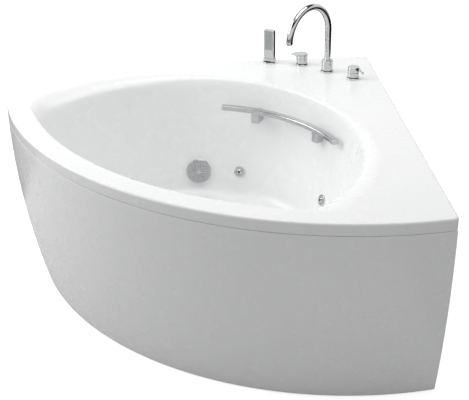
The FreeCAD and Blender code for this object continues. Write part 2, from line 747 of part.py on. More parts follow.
def front_panel():
    """Curved apron: arc in plan, arc in profile, with a return along its top and foot."""
    foot = PANEL_FOOT_GAP
    middle = (PANEL_TOP + foot) / 2.0
    inner_top = PANEL_TOP - PANEL_WALL
    inner_foot = foot + PANEL_WALL
    inner_mid = (inner_top + inner_foot) / 2.0
    at = lambda r, z: V(r, 0, z)
    outer = [at(panel_face_r(z), z) for z in (PANEL_TOP, middle, foot)]
    inner = [at(panel_face_r(z, PANEL_WALL), z) for z in (inner_foot, inner_mid, inner_top)]
    foot_in = at(outer[2].x - PANEL_RETURN, foot)
    top_in = at(outer[0].x - PANEL_RETURN, PANEL_TOP)
    line = lambda a, b: Part.LineSegment(a, b).toShape()
    profile = Part.Wire([
        Part.Arc(*outer).toShape(),
        line(outer[2], foot_in),
        line(foot_in, at(foot_in.x, inner_foot)),
        line(at(foot_in.x, inner_foot), inner[0]),
        Part.Arc(*inner).toShape(),
        line(inner[2], at(top_in.x, inner_top)),
        line(at(top_in.x, inner_top), top_in),
        line(top_in, outer[0])])
    face = Part.Face(profile)
    face.rotate(V(0, 0, 0), V(0, 0, 1), -PANEL_HALF)
    band = face.revolve(V(0, 0, 0), V(0, 0, 1), 2.0 * PANEL_HALF)
    band.translate(V(ARC_X, 0, 0))
    return band.common(room_quadrant(PANEL_END_GAP))


def arc_block(angle, radius, depth, length, z0, z1):
    """Small block set behind the front arc at an angle."""
    block = box(radius - depth, radius, -length / 2.0, length / 2.0, z0, z1)
    block.rotate(V(0, 0, 0), V(0, 0, 1), angle)
    block.translate(V(ARC_X, 0, 0))
    return block


def panel_catches():
    """Magnet holders under the deck, and their strike plates on the panel."""
    strike_top = PANEL_TOP + STRIKE_THICK
    back = PANEL_R - PANEL_WALL - CATCH_SET
    holders = [arc_block(a, back, CATCH_DEPTH, CATCH_LENGTH, strike_top + CATCH_GAP, UNDER_DECK)
               for a in CATCH_ANGLES]
    strikes = [arc_block(a, back, STRIKE_DEPTH, STRIKE_LENGTH, PANEL_TOP, strike_top) for a in CATCH_ANGLES]
    return holders, strikes


# ---- support frame ------------------------------------------------------
def tube_x(x0, x1, y):
    """Square tube along X under the board."""
    half = TUBE / 2.0
    core = half - TUBE_WALL
    outer = box(x0, x1, y - half, y + half, RAIL_FOOT, RAIL_TOP)
    return outer.cut(box(x0 - 1.0, x1 + 1.0, y - core, y + core, RAIL_FOOT + TUBE_WALL, RAIL_TOP - TUBE_WALL))


def tube_y(y0, y1, x):
    """Square tube along Y under the board."""
    half = TUBE / 2.0
    core = half - TUBE_WALL
    outer = box(x - half, x + half, y0, y1, RAIL_FOOT, RAIL_TOP)
    return outer.cut(box(x - core, x + core, y0 - 1.0, y1 + 1.0, RAIL_FOOT + TUBE_WALL, RAIL_TOP - TUBE_WALL))


def tube_z(x, y):
    """Square upright from a rail to the deck."""
    half = TUBE / 2.0
    core = half - TUBE_WALL
    outer = box(x - half, x + half, y - half, y + half, RAIL_TOP, UNDER_DECK)
    return outer.cut(box(x - core, x + core, y - core, y + core, RAIL_TOP - 1.0, UNDER_DECK + 1.0))


def post_places():
    """Foot of each upright: by the room corner and near the two tips."""
    tip = OUTRIGGER_REACH - LEG_INSET
    return [(SPINE_START + LEG_INSET, 0.0), (OUTRIGGER_X, tip), (OUTRIGGER_X, -tip)]


def leg_places():
    """Centre of each foot."""
    backs = [(BACK_RAIL_X, side * BACK_LEG_Y) for side in (-1, 1)]
    fronts = [(FRONT_RAIL_X, side * FRONT_LEG_Y) for side in (-1, 1)]
    return post_places() + backs + fronts


def frame_rails():
    """Welded floor frame of square tubes."""
    half = TUBE / 2.0
    rails = [tube_y(-BACK_RAIL_HALF, BACK_RAIL_HALF, BACK_RAIL_X),
             tube_y(-FRONT_RAIL_HALF, FRONT_RAIL_HALF, FRONT_RAIL_X),
             tube_x(SPINE_START, BACK_RAIL_X - half, 0.0)]
    for side in (-1, 1):
        rails.append(tube_x(BACK_RAIL_X + half, FRONT_RAIL_X - half, side * SIDE_RAIL_Y))
        ends = sorted((side * (SIDE_RAIL_Y + half), side * OUTRIGGER_REACH))
        rails.append(tube_y(ends[0], ends[1], OUTRIGGER_X))
    return rails


def tube_caps():
    """Plastic caps on the open tube ends."""
    half = TUBE / 2.0
    caps = [box(SPINE_START - CAP_THICK, SPINE_START, -half, half, RAIL_FOOT, RAIL_TOP)]
    rails = ((BACK_RAIL_HALF, BACK_RAIL_X), (FRONT_RAIL_HALF, FRONT_RAIL_X), (OUTRIGGER_REACH, OUTRIGGER_X))
    for reach, x in rails:
        for side in (-1, 1):
            ends = sorted((side * reach, side * (reach + CAP_THICK)))
            caps.append(box(x - half, x + half, ends[0], ends[1], RAIL_FOOT, RAIL_TOP))
    return caps


def base_board():
    """Board bonded under the basin's floor."""
    wire = Part.Wire(lens_edges(DEPTH, -BOARD_INSET, RAIL_TOP))
    board = Part.Face(wire).extrude(V(0, 0, BOARD_THICK))
    return board.cut(rod(WASTE_BODY_R + 6.0, RAIL_TOP - 1.0, BOARD_TOP + 1.0, WASTE_X, WASTE_Y))


def legs():
    """Studs, nuts and foot pads."""
    studs = []
    nuts = []
    pads = []
    for x, y in leg_places():
        studs.append(rod(STUD_R, FOOT_HEIGHT - FOOT_SOCKET, RAIL_FOOT, x, y))
        nuts.append(hex_nut(NUT_AF, STUD_R, RAIL_FOOT - NUT_HEIGHT, RAIL_FOOT, x, y))
        low = RAIL_FOOT - NUT_HEIGHT - NUT_DROP
        nuts.append(hex_nut(NUT_AF, STUD_R, low - NUT_HEIGHT, low, x, y))
        pad = soften(rod(FOOT_R, 0.0, FOOT_HEIGHT, x, y), 2.0, lies_at(FOOT_HEIGHT))
        pads.append(pad.cut(rod(STUD_R, FOOT_HEIGHT - FOOT_SOCKET, FOOT_HEIGHT + 1.0, x, y)))
    return studs, nuts, pads


def panel_stays():
    """Bent strips from the front rail to the back of the panel's foot."""
    front = FRONT_RAIL_X + TUBE / 2.0
    stays = []
    for y in STAY_Y:
        half = STAY_WIDTH / 2.0
        reach = panel_face_r(PANEL_FOOT_GAP) - PANEL_RETURN - STAY_GAP
        end = ARC_X + math.sqrt(reach ** 2 - (abs(y) + half) ** 2)
        foot = PANEL_FOOT_GAP
        upright = box(front, front + STAY_THICK, y - half, y + half, foot, RAIL_TOP)
        flat = box(front, end, y - half, y + half, foot, foot + STAY_THICK)
        stays.append(join([upright, flat]))
    return stays


# ---- waste and overflow -------------------------------------------------
def waste_flange():
    """Chrome dish in the floor with its threaded throat."""
    top = FLOOR_LEVEL + WASTE_FLANGE_THICK
    foot = BOARD_TOP - WASTE_THROAT
    dish = PLUG_R + WASTE_CLEAR
    dish_floor = FLOOR_LEVEL - 1.5
    outer_throat = WASTE_HOLE_R - WASTE_CLEAR
    profile = [(WASTE_THROAT_R, foot), (outer_throat, foot), (outer_throat, FLOOR_LEVEL),
               (WASTE_FLANGE_R, FLOOR_LEVEL), (WASTE_FLANGE_R - 1.0, top), (dish, top),
               (outer_throat - 1.0, dish_floor + 1.0), (WASTE_THROAT_R, dish_floor)]
    body = turned(profile)
    bar = box(-WASTE_THROAT_R - 1.0, WASTE_THROAT_R + 1.0, -3.0, 3.0, foot + 4.0, foot + 10.0)
    cross = [bar, bar.rotated(V(0, 0, 0), V(0, 0, 1), 90.0), rod(PLUG_STEM_R + 4.0, foot + 4.0, foot + 14.0)]
    bore = rod(PLUG_STEM_R + WASTE_CLEAR, foot, top)
    return join([body] + cross).cut(bore).translated(V(WASTE_X, WASTE_Y, 0))


def waste_plug():
    """Pop-up plug on its stem."""
    under = FLOOR_LEVEL + WASTE_FLANGE_THICK + PLUG_REST_GAP
    top = under + PLUG_THICK
    disc = soften(rod(PLUG_R, under, top), 2.0, lies_at(top))
    neck = rod(WASTE_THROAT_R - 5.0, under - 4.0, under)
    stem = rod(PLUG_STEM_R, BOARD_TOP - WASTE_THROAT + 1.0, under - 4.0)
    return join([disc, neck, stem]).translated(V(WASTE_X, WASTE_Y, 0))


def waste_seal():
    """Rubber washer between the shell and the waste body."""
    return sleeve(WASTE_BODY_R, WASTE_HOLE_R, BOARD_TOP - WASTE_SEAL_THICK, BOARD_TOP, WASTE_X, WASTE_Y)


def waste_foot():
    """Lower end of the waste body."""
    return BOARD_TOP - WASTE_SEAL_THICK - WASTE_BODY_DROP


def waste_body():
    """Cup under the floor with the side inlet for the overflow."""
    top = BOARD_TOP - WASTE_SEAL_THICK
    foot = waste_foot()
    cup = turned([(WASTE_HOLE_R, top), (WASTE_BODY_R, top), (WASTE_BODY_R, foot + 14.0),
                  (TRAP_PIPE_R + 4.0, foot), (TRAP_PIPE_R, foot), (TRAP_PIPE_R, foot + TRAP_ENTRY),
                  (WASTE_HOLE_R, foot + TRAP_ENTRY + 10.0)])
    cup.translate(V(WASTE_X, WASTE_Y, 0))
    start = V(WASTE_X, WASTE_Y, OVERFLOW_RUN_LEVEL)
    reach = WASTE_BODY_R + WASTE_INLET
    inlet = Part.makeCylinder(OVERFLOW_PIPE_R, reach, start, V(1, 0, 0))
    bore = Part.makeCylinder(OVERFLOW_PIPE_BORE, reach + 1.0, start, V(1, 0, 0))
    core = rod(WASTE_HOLE_R, foot - 1.0, top + 1.0, WASTE_X, WASTE_Y)
    return join([cup, inlet.cut(core)]).cut(bore)


def waste_trap():
    """Pipe trap from the waste body to its outlet."""
    rise_x = WASTE_X - TRAP_LEGS
    points = [V(WASTE_X, WASTE_Y, waste_foot() + TRAP_ENTRY), V(WASTE_X, WASTE_Y, TRAP_DIP),
              V(rise_x, WASTE_Y, TRAP_DIP), V(rise_x, WASTE_Y, TRAP_OUT_LEVEL),
              V(TRAP_OUT_X, WASTE_Y, TRAP_OUT_LEVEL)]
    return pipe(points, TRAP_BEND, TRAP_PIPE_R, TRAP_BORE_R)


def trap_nut():
    """Union nut of the trap."""
    foot = waste_foot()
    return hex_nut(2.0 * (TRAP_PIPE_R + 9.0), TRAP_PIPE_R, foot - 16.0, foot, WASTE_X, WASTE_Y)


def overflow_body():
    """Barrel through the wall with a downward outlet."""
    back = -OVERFLOW.grip - OVERFLOW_BARREL
    barrel = rod(OVERFLOW_BARREL_R, back, 0.0)
    hollow = rod(OVERFLOW_BORE_R, back + 3.0, 1.0)
    body = OVERFLOW.put(barrel)
    stub = rod(OVERFLOW_PIPE_R + 3.0, OVERFLOW_PIPE_TOP, OVERFLOW_LEVEL - 4.0, OVERFLOW_PIPE_X, WASTE_Y)
    stub = stub.cut(OVERFLOW.put(rod(OVERFLOW_NUT_R + 1.0, -OVERFLOW.grip - OVERFLOW_NUT_THICK - 0.5, 0.0)))
    socket = rod(OVERFLOW_PIPE_R, OVERFLOW_PIPE_TOP - 1.0, OVERFLOW_PIPE_TOP + OVERFLOW_SOCKET,
                 OVERFLOW_PIPE_X, WASTE_Y)
    way = rod(OVERFLOW_PIPE_BORE, OVERFLOW_PIPE_TOP, OVERFLOW_LEVEL - 4.0, OVERFLOW_PIPE_X, WASTE_Y)
    return join([body, stub]).cut([OVERFLOW.put(hollow), socket, way])


def overflow_cover():
    """Chrome ring on the wall with a slotted lower edge and a bridge for the knob's stem."""
    ring = rod(OVERFLOW_COVER_R, 0.0, OVERFLOW_COVER_THICK).cut(
        rod(OVERFLOW_BARREL_R, -1.0, OVERFLOW_COVER_THICK + 1.0))
    bridge = box(-OVERFLOW_BARREL_R - 1.0, OVERFLOW_BARREL_R + 1.0, -7.0, 7.0, 0.0, OVERFLOW_COVER_THICK)
    bore = rod(KNOB_STEM_R + 0.06, -1.0, OVERFLOW_COVER_THICK + 1.0)
    return OVERFLOW.put(join([ring, bridge]).cut(bore))


def overflow_knob():
    """Round turning cover that works the plug."""
    base = OVERFLOW_COVER_THICK + KNOB_GAP
    disc = soften(rod(KNOB_R, base, base + KNOB_THICK), 2.5, lies_at(base + KNOB_THICK))
    groove = sleeve(KNOB_R + 1.0, KNOB_R - 1.5, base + 5.0, base + 7.0)
    stem = rod(KNOB_STEM_R, -12.0, base)
    return OVERFLOW.put(join([disc.cut(groove), stem]))


def overflow_pipe():
    """Pipe from the overflow down and under the frame to the waste."""
    points = [V(OVERFLOW_PIPE_X, WASTE_Y, OVERFLOW_PIPE_TOP + OVERFLOW_SOCKET),
              V(OVERFLOW_PIPE_X, WASTE_Y, OVERFLOW_RUN_LEVEL),
              V(WASTE_X + WASTE_BODY_R + WASTE_INLET, WASTE_Y, OVERFLOW_RUN_LEVEL)]
    return pipe(points, OVERFLOW_PIPE_BEND, OVERFLOW_PIPE_R, OVERFLOW_PIPE_BORE)


# ---- hydromassage -------------------------------------------------------
def ring_path(trim=0.0):
    """Axis of the pressure line: back arc, right end, front arc; `trim` degrees shorter at each end."""
    depth = RIM_HEIGHT - RING_LEVEL
    lens = lens_points(depth, RING_OFFSET)
    up = V(0, 0, RING_LEVEL)

    def back_point(angle):
        turn = math.radians(angle)
        return V(lens["back_x"] - lens["back_r"] * math.cos(turn), lens["back_r"] * math.sin(turn), 0) + up

    def front_point(angle):
        turn = math.radians(angle)
        return V(ARC_X + lens["front_r"] * math.cos(turn), lens["front_r"] * math.sin(turn), 0) + up

    start = back_point(RING_START + trim)
    path = Part.Wire([
        Part.Arc(start, back_point(0.0), lens["back_touch"] + up).toShape(),
        Part.Arc(lens["back_touch"] + up, lens["end_middle"] + up, lens["front_touch"] + up).toShape(),
        Part.Arc(lens["front_touch"] + up, front_point(0.0), front_point(RING_END + trim)).toShape()])
    turn = math.radians(RING_START + trim)
    return path, start, V(math.sin(turn), math.cos(turn), 0)


def pressure_line():
    """Line behind the wall, closed at both ends, and the riser from the pump."""
    line = swept(*ring_path(), RING_R)
    core = swept(*ring_path(RING_PLUG), RING_BORE_R)
    centre, radius = ring_axis(False)
    riser_x = centre.x - math.sqrt(radius ** 2 - PUMP_Y ** 2)
    foot = PUMP_LEVEL + VOLUTE_R - RISER_ENTRY
    riser = rod(RISER_R, foot, RING_LEVEL, riser_x, PUMP_Y)
    volute = pump_bar(VOLUTE_R, pump_front() - VOLUTE_THICK, pump_front())
    way = rod(RISER_BORE_R, foot - 1.0, RING_LEVEL, riser_x, PUMP_Y)
    return line.fuse(riser.cut(volute)).cut([core, way])


def pump_front():
    """Front face of the pump's volute, which the riser stands over."""
    centre, radius = ring_axis(False)
    return centre.x - math.sqrt(radius ** 2 - PUMP_Y ** 2) + VOLUTE_THICK / 2.0


def jet_body(seat, front):
    """Barrel through the wall, closed behind, with a stub down to the pressure line."""
    reach = stub_reach(seat, front)
    back = -(reach + JET_STUB_R + 4.0)
    barrel = join([rod(JET_FLANGE_R, 0.0, JET_FLANGE_THICK), rod(JET_BARREL_R, back, 0.0)])
    barrel = seat.put(barrel.cut(rod(JET_BORE_R, back + 4.0, JET_FLANGE_THICK + 1.0)))
    foot = seat.at(reach)
    stub = rod(JET_STUB_R, RING_LEVEL, foot.z, foot.x, foot.y)
    way = rod(JET_STUB_R - 3.0, RING_LEVEL - 1.0, foot.z, foot.x, foot.y)
    path, start, along = ring_path()
    hollow = seat.put(rod(JET_BORE_R, back + 4.0, 0.0))
    return join([barrel, stub.cut(hollow)]).cut([way, swept(path, start, along, RING_R)])


def ring_nut(seat, radius, bore, thick):
    """Ring nut behind the wall."""
    return seat.put(sleeve(radius, bore, -seat.grip - thick, -seat.grip))


def wall_nuts():
    """Ring nuts of the jets, the suction, the overflow and the air button."""
    nuts = [ring_nut(seat, JET_NUT_R, JET_BARREL_R, JET_NUT_THICK) for seat, _ in JETS]
    nuts.append(ring_nut(SUCTION, SUCTION_NUT_R, SUCTION_BARREL_R, SUCTION_NUT_THICK))
    nuts.append(ring_nut(OVERFLOW, OVERFLOW_NUT_R, OVERFLOW_BARREL_R, OVERFLOW_NUT_THICK))
    nuts.append(ring_nut(BUTTON, BUTTON_NUT_R, BUTTON_BARREL_R, BUTTON_NUT_THICK))
    return nuts


def jet_ring(seat):
    """Chrome ring that turns in front of the flange and holds the eyeball."""
    face = JET_FLANGE_THICK + JET_RING_GAP
    ring = rod(JET_RING_R, face, JET_RING_FACE)
    ring = soften(ring, 2.4, lambda e: lies_at(JET_RING_FACE)(e))
    inner = rod(JET_RING_SLEEVE_R, -4.0, face)
    ball_room = Part.makeSphere(JET_BALL_R + JET_BALL_CLEAR)
    notches = [rod(1.6, face - 1.0, JET_RING_FACE + 1.0, JET_RING_R * math.cos(math.radians(a)),
                   JET_RING_R * math.sin(math.radians(a))) for a in range(0, 360, 45)]
    return seat.put(join([ring, inner]).cut([ball_room] + notches))


def jet_nozzle(seat):
    """Eyeball nozzle."""
    ball = Part.makeSphere(JET_BALL_R).common(
        rod(JET_BALL_R + 1.0, -JET_BALL_BACK, JET_BALL_FRONT))
    throat = turned([(0.0, -JET_BALL_BACK - 1.0), (9.5, -JET_BALL_BACK - 1.0), (JET_NOZZLE_R, 2.0),
                     (JET_NOZZLE_R, JET_BALL_FRONT + 1.0), (0.0, JET_BALL_FRONT + 1.0)])
    return seat.put(ball.cut(throat))


def suction_body():
    """Suction fitting: flange, barrel and its elbow down."""
    back = -(SUCTION_AXIS + PIPE_R + 6.0)
    barrel = join([rod(SUCTION_FLANGE_R, 0.0, SUCTION_FLANGE_THICK), rod(SUCTION_BARREL_R, back, 0.0)])
    boss = rod(SCREW_SHANK_R + 4.0, -18.0, SUCTION_FLANGE_THICK)
    web = box(-SUCTION_BORE_R - 1.0, SUCTION_BORE_R + 1.0, -2.5, 2.5, -18.0, -2.0)
    barrel = barrel.cut(rod(SUCTION_BORE_R, back + 4.0, SUCTION_FLANGE_THICK + 1.0))
    barrel = join([barrel, boss, web]).cut(rod(SCREW_SHANK_R, -14.0, SUCTION_FLANGE_THICK + 1.0))
    body = SUCTION.put(barrel)
    top = SUCTION.at(SUCTION_AXIS)
    foot = top.z - SUCTION_BARREL_R - 22.0
    hollow = SUCTION.put(rod(SUCTION_BORE_R, back + 4.0, 0.0))
    socket = rod(PIPE_R + 4.0, foot, top.z, top.x, top.y).cut(hollow)
    return join([body, socket]).cut([rod(PIPE_R, foot - 1.0, foot + 18.0, top.x, top.y),
                                     rod(PIPE_BORE_R, foot, top.z, top.x, top.y)])


def suction_line():
    """Pipe from the suction fitting to the pump."""
    top = SUCTION.at(SUCTION_AXIS)
    end = pump_front() + INLET_LENGTH
    points = [V(top.x, top.y, top.z - SUCTION_BARREL_R - 4.0), V(top.x, top.y, PUMP_LEVEL),
              V(end + PIPE_BEND + 6.0, PUMP_Y, PUMP_LEVEL), V(end, PUMP_Y, PUMP_LEVEL)]
    return pipe(points, PIPE_BEND * 0.9, PIPE_R, PIPE_BORE_R)


def suction_grille():
    """Domed perforated cover of the suction."""
    face = SUCTION_FLANGE_THICK
    top = face + GRILLE_THICK
    disc = soften(rod(GRILLE_R, 0.0, top), 3.5, lies_at(top))
    disc = disc.cut(rod(SUCTION_FLANGE_R + 0.2, -1.0, face))
    disc = disc.cut(rod(SUCTION_BORE_R, face - 1.0, top - 2.5))
    disc = disc.fuse(rod(SCREW_SHANK_R + 4.0, face, top - 1.0))
    holes = [rod(SCREW_SHANK_R + 0.2, face - 1.0, top + 1.0)]
    for radius, count in GRILLE_ROWS:
        for k in range(count):
            turn = 2.0 * math.pi * k / count
            x, y = radius * math.cos(turn), radius * math.sin(turn)
            holes.append(rod(GRILLE_HOLE_R, face - 1.0, top + 1.0, x, y))
    return SUCTION.put(disc.cut(holes))


def suction_screw():
    """Domed screw in the middle of the grille."""
    seat = SUCTION_FLANGE_THICK + GRILLE_THICK
    head = soften(rod(SCREW_R, seat, seat + SCREW_HEAD), 2.0, lies_at(seat + SCREW_HEAD))
    slot = box(-1.0, 1.0, -SCREW_R, SCREW_R, seat + SCREW_HEAD - 1.2, seat + SCREW_HEAD + 1.0)
    shank = rod(SCREW_SHANK_R, -12.0, seat)
    return SUCTION.put(join([head.cut(slot), shank]))


def button_bezel():
    """Air-button housing through the wall."""
    back = -(BUTTON.grip + BUTTON_BARREL)
    shell = join([rod(BUTTON_BEZEL_R, 0.0, BUTTON_BEZEL_THICK), rod(BUTTON_BARREL_R, back, 0.0)])
    shell = soften(shell, 1.5, lambda e: lies_at(BUTTON_BEZEL_THICK)(e))
    bore = rod(BUTTON_R + BUTTON_BORE_CLEAR, -14.0, BUTTON_BEZEL_THICK + 1.0)
    spigot = rod(SPIGOT_R, back - SPIGOT_LENGTH, back)
    return BUTTON.put(join([shell.cut(bore), spigot]))


def air_button():
    """Push button that starts the jets."""
    top = BUTTON_BEZEL_THICK + BUTTON_PROUD
    cap = soften(rod(BUTTON_R, -8.0, top), 1.5, lies_at(top))
    return BUTTON.put(cap)


# ---- pump ---------------------------------------------------------------
def pump_bar(radius, x0, x1):
    """Round piece on the pump's axis."""
    return Part.makeCylinder(radius, x1 - x0, V(x0, PUMP_Y, PUMP_LEVEL), V(1, 0, 0))


def pump_volute():
    """Pump housing with its inlet towards the basin and its outlet up."""
    front = pump_front()
    back = front - VOLUTE_THICK
    middle = (front + back) / 2.0
    drum = soften(pump_bar(VOLUTE_R, back, front), 8.0, lambda e: e.Curve.TypeId == "Part::GeomCircle")
    inlet = pump_bar(INLET_R, front, front + INLET_LENGTH)
    body = join([drum, inlet])
    hollow = pump_bar(VOLUTE_R - 9.0, back + 6.0, front - 6.0)
    way_in = pump_bar(PIPE_BORE_R, front - 7.0, front + INLET_LENGTH + 1.0)
    way_out = rod(RISER_BORE_R, PUMP_LEVEL + 20.0, PUMP_LEVEL + VOLUTE_R + 1.0, middle, PUMP_Y)
    return body.cut([hollow, way_in, way_out])


def pump_motor():
    """Motor with cooling fins along it."""
    end = pump_front() - VOLUTE_THICK
    start = end - MOTOR_LENGTH
    core = pump_bar(MOTOR_R - FIN_HEIGHT, start, end)
    fins = []
    for k in range(MOTOR_FINS):
        top = math.sqrt(MOTOR_R ** 2 - (FIN_THICK / 2.0) ** 2)
        fin = box(start + 12.0, end - 12.0, -FIN_THICK / 2.0, FIN_THICK / 2.0, MOTOR_R - FIN_HEIGHT - 3.0, top)
        fin.rotate(V(0, 0, 0), V(1, 0, 0), 360.0 * (k + 0.5) / MOTOR_FINS)
        fin.translate(V(0, PUMP_Y, PUMP_LEVEL))
        fins.append(fin)
    flange = pump_bar(MOTOR_R, end - 10.0, end)
    return join([core, flange] + fins)


def motor_cowl():
    """Fan cowl on the back of the motor."""
    end = pump_front() - VOLUTE_THICK - MOTOR_LENGTH
    cowl = pump_bar(COWL_R, end - COWL_LENGTH, end + 6.0)
    cowl = soften(cowl, 6.0, lambda e: abs(e.BoundBox.XMax - (end - COWL_LENGTH)) < 1e-5
                  and abs(e.BoundBox.XMin - (end - COWL_LENGTH)) < 1e-5)
    room = pump_bar(COWL_R - 3.0, end - COWL_LENGTH + 4.0, end)
    cowl = cowl.cut([room, pump_bar(MOTOR_R - FIN_HEIGHT, end - 1.0, end + 7.0)])
    slots = []
    for k in range(12):
        slot = box(end - COWL_LENGTH - 1.0, end - COWL_LENGTH + 5.0, -2.0, 2.0, 18.0, COWL_R - 12.0)
        slot.rotate(V(0, 0, 0), V(1, 0, 0), 30.0 * k)
        slot.translate(V(0, PUMP_Y, PUMP_LEVEL))
        slots.append(slot)
    return cowl.cut(slots)


def motor_span():
    """Start and end of the bare motor along X."""
    end = pump_front() - VOLUTE_THICK
    return end - MOTOR_LENGTH, end


def terminal_box():
    """Wiring box on top of the motor with a cable gland."""
    start, end = motor_span()
    middle = (start + end) / 2.0
    low = PUMP_LEVEL + MOTOR_R - 16.0
    high = PUMP_LEVEL + MOTOR_R + BOX_HEIGHT
    case = box(middle - BOX_LENGTH / 2.0, middle + BOX_LENGTH / 2.0,
               PUMP_Y - BOX_WIDTH / 2.0, PUMP_Y + BOX_WIDTH / 2.0, low, high)
    case = soften(case, 4.0, is_upright)
    case = case.cut(pump_bar(MOTOR_R, start, end))
    level = high - BOX_HEIGHT / 2.0
    edge = PUMP_Y - BOX_WIDTH / 2.0
    gland = Part.makeCylinder(GLAND_R, GLAND_LENGTH, V(middle, edge, level), V(0, -1, 0))
    bore = Part.makeCylinder(GLAND_BORE_R, GLAND_LENGTH + 12.0, V(middle, edge + 12.0, level), V(0, -1, 0))
    return join([case, gland]).cut(bore)


def pump_stand():
    """Plate, cradles and rubber feet under the pump."""
    start, end = motor_span()
    middle = (start + end) / 2.0
    top = PUMP_FOOT_HEIGHT + PUMP_PLATE
    plate = box(middle - PUMP_PLATE_LENGTH / 2.0, middle + PUMP_PLATE_LENGTH / 2.0,
                PUMP_Y - PUMP_PLATE_WIDTH / 2.0, PUMP_Y + PUMP_PLATE_WIDTH / 2.0, PUMP_FOOT_HEIGHT, top)
    plate = soften(plate, 10.0, is_upright)
    cradles = []
    for x in (start + 35.0, end - 35.0):
        cradle = box(x - CRADLE_LENGTH / 2.0, x + CRADLE_LENGTH / 2.0, PUMP_Y - 40.0, PUMP_Y + 40.0,
                     top, PUMP_LEVEL - MOTOR_R + 22.0)
        cradles.append(cradle.cut(pump_bar(MOTOR_R, start, end)))
    feet = []
    reach = PUMP_PLATE_LENGTH / 2.0 - PUMP_FOOT_INSET
    spread = PUMP_PLATE_WIDTH / 2.0 - PUMP_FOOT_INSET
    for x in (middle - reach, middle + reach):
        for y in (PUMP_Y - spread, PUMP_Y + spread):
            feet.append(rod(PUMP_FOOT_R, 0.0, PUMP_FOOT_HEIGHT, x, y))
    return join([plate] + cradles), feet


# ---- grab bar -----------------------------------------------------------
def bar_section(middle, inward):
    """Flat rectangle across the bar."""
    side = inward * (BAR_WIDTH / 2.0)
    high = V(0, 0, BAR_HEIGHT / 2.0)
    corners = [middle - side - high, middle + side - high, middle + side + high, middle - side + high]
    return Part.makePolygon(corners + corners[:1])


def grab_bar():
    """Arched bar along the back wall, rounded along every edge."""
    centre, radius = bar_axis()
    turn = math.radians(BAR_FROM)
    inward = V(math.cos(turn), -math.sin(turn), 0)
    face = Part.Face(bar_section(centre - inward * radius, inward))
    bar = face.revolve(centre, V(0, 0, -1), BAR_TO - BAR_FROM)
    return bar.makeFillet(BAR_ROUND, bar.Edges)


def grab_post(angle):
    """Square post from the wall to under the bar."""
    face, inward = post_face(angle)
    middle, _ = post_seat(angle)
    front = (middle - V(face.x, face.y, middle.z)).dot(inward) + POST_FRONT
    top = BAR_LEVEL - BAR_HEIGHT / 2.0
    low = top - POST_DROP
    block = box(-POST_BURIED, front, -POST_WIDTH / 2.0, POST_WIDTH / 2.0, low, top)
    block = soften(block, POST_ROUND, lambda e: is_upright(e) and e.BoundBox.XMin > 0.0)
    block = soften(block, POST_ROUND * 0.8, lambda e: lies_at(low)(e) and e.BoundBox.XMax > 1.0)
    block.rotate(V(0, 0, 0), V(0, 0, 1), -angle)
    block.translate(V(face.x, face.y, 0))
    return block


def grab_posts():
    """Both posts, cut to the wall."""
    room = bowl(0.0)
    posts = []
    for angle in POST_ANGLES:
        block = grab_post(angle).common(room)
        block = block.cut(post_bolt(angle, POST_BOLT_R, -POST_BOLT_LENGTH, POST_BURIED))
        posts.append(max(block.Solids, key=lambda s: s.Volume))
    return posts


def post_bolts():
    """Bolt and nut behind each post."""
    bolts = []
    nuts = []
    for angle in POST_ANGLES:
        bolts.append(post_bolt(angle, POST_BOLT_R, -POST_BOLT_LENGTH, POST_BOLT_TAIL))
        ring = post_bolt(angle, POST_NUT_R, POST_NUT_AT, POST_NUT_AT + POST_NUT_THICK)
        hole = post_bolt(angle, POST_BOLT_R, POST_NUT_AT - 1.0, POST_NUT_AT + POST_NUT_THICK + 1.0)
        nuts.append(ring.cut(hole))
    return bolts, nuts


# ---- deck fittings ------------------------------------------------------
def deck_rose(x, y):
    """Round chrome rose on the deck."""
    top = RIM_HEIGHT + FLANGE_THICK
    rose = soften(rod(FLANGE_R, RIM_HEIGHT, top, x, y), ROSE_ROUND, lies_at(top))
    return rose.cut(rod(SHANK_R, RIM_HEIGHT - 1.0, top + 1.0, x, y))


def groove_ring(x, y):
    """Dark rubber ring between a rose and the body on it."""
    low = RIM_HEIGHT + FLANGE_THICK
    return sleeve(GROOVE_R, SHANK_R, low, low + GROOVE_HEIGHT, x, y)


def body_foot():
    """Height at which the bodies start above their groove rings."""
    return RIM_HEIGHT + FLANGE_THICK + GROOVE_HEIGHT


def shank_socket(x, y):
    """Room for the shank in the underside of a body."""
    return rod(SHANK_R, body_foot() - 1.0, body_foot() + SHANK_ENTRY, x, y)


def shank(x, y, entry):
    """Threaded shank through rose, ring and deck."""
    tube = rod(SHANK_R, UNDER_DECK - SHANK_LENGTH, body_foot() + entry, x, y)
    return tube.cut(rod(HOSE_BORE_R, UNDER_DECK - SHANK_LENGTH - 1.0, body_foot() + entry + 1.0, x, y))


def tap_shanks():
    """Shanks of all four fittings; the shower's ends under its holder."""
    return [shank(x, y, 0.0 if name == "shower" else SHANK_ENTRY) for name, (x, y) in TAPS.items()]


def spout_base():
    """Body that carries the swivelling spout."""
    x, y = TAPS["spout"]
    top = RIM_HEIGHT + BODY_TOP
    body = soften(rod(BODY_R, body_foot(), top, x, y), EDGE, lies_at(top))
    bore = rod(SPOUT_STEM_R + SPOUT_BORE_CLEAR, top - SPOUT_STEM - 2.0, top + 1.0, x, y)
    way = rod(BODY_WAY_R, body_foot() - 1.0, top, x, y)
    return body.cut([bore, way, shank_socket(x, y)])


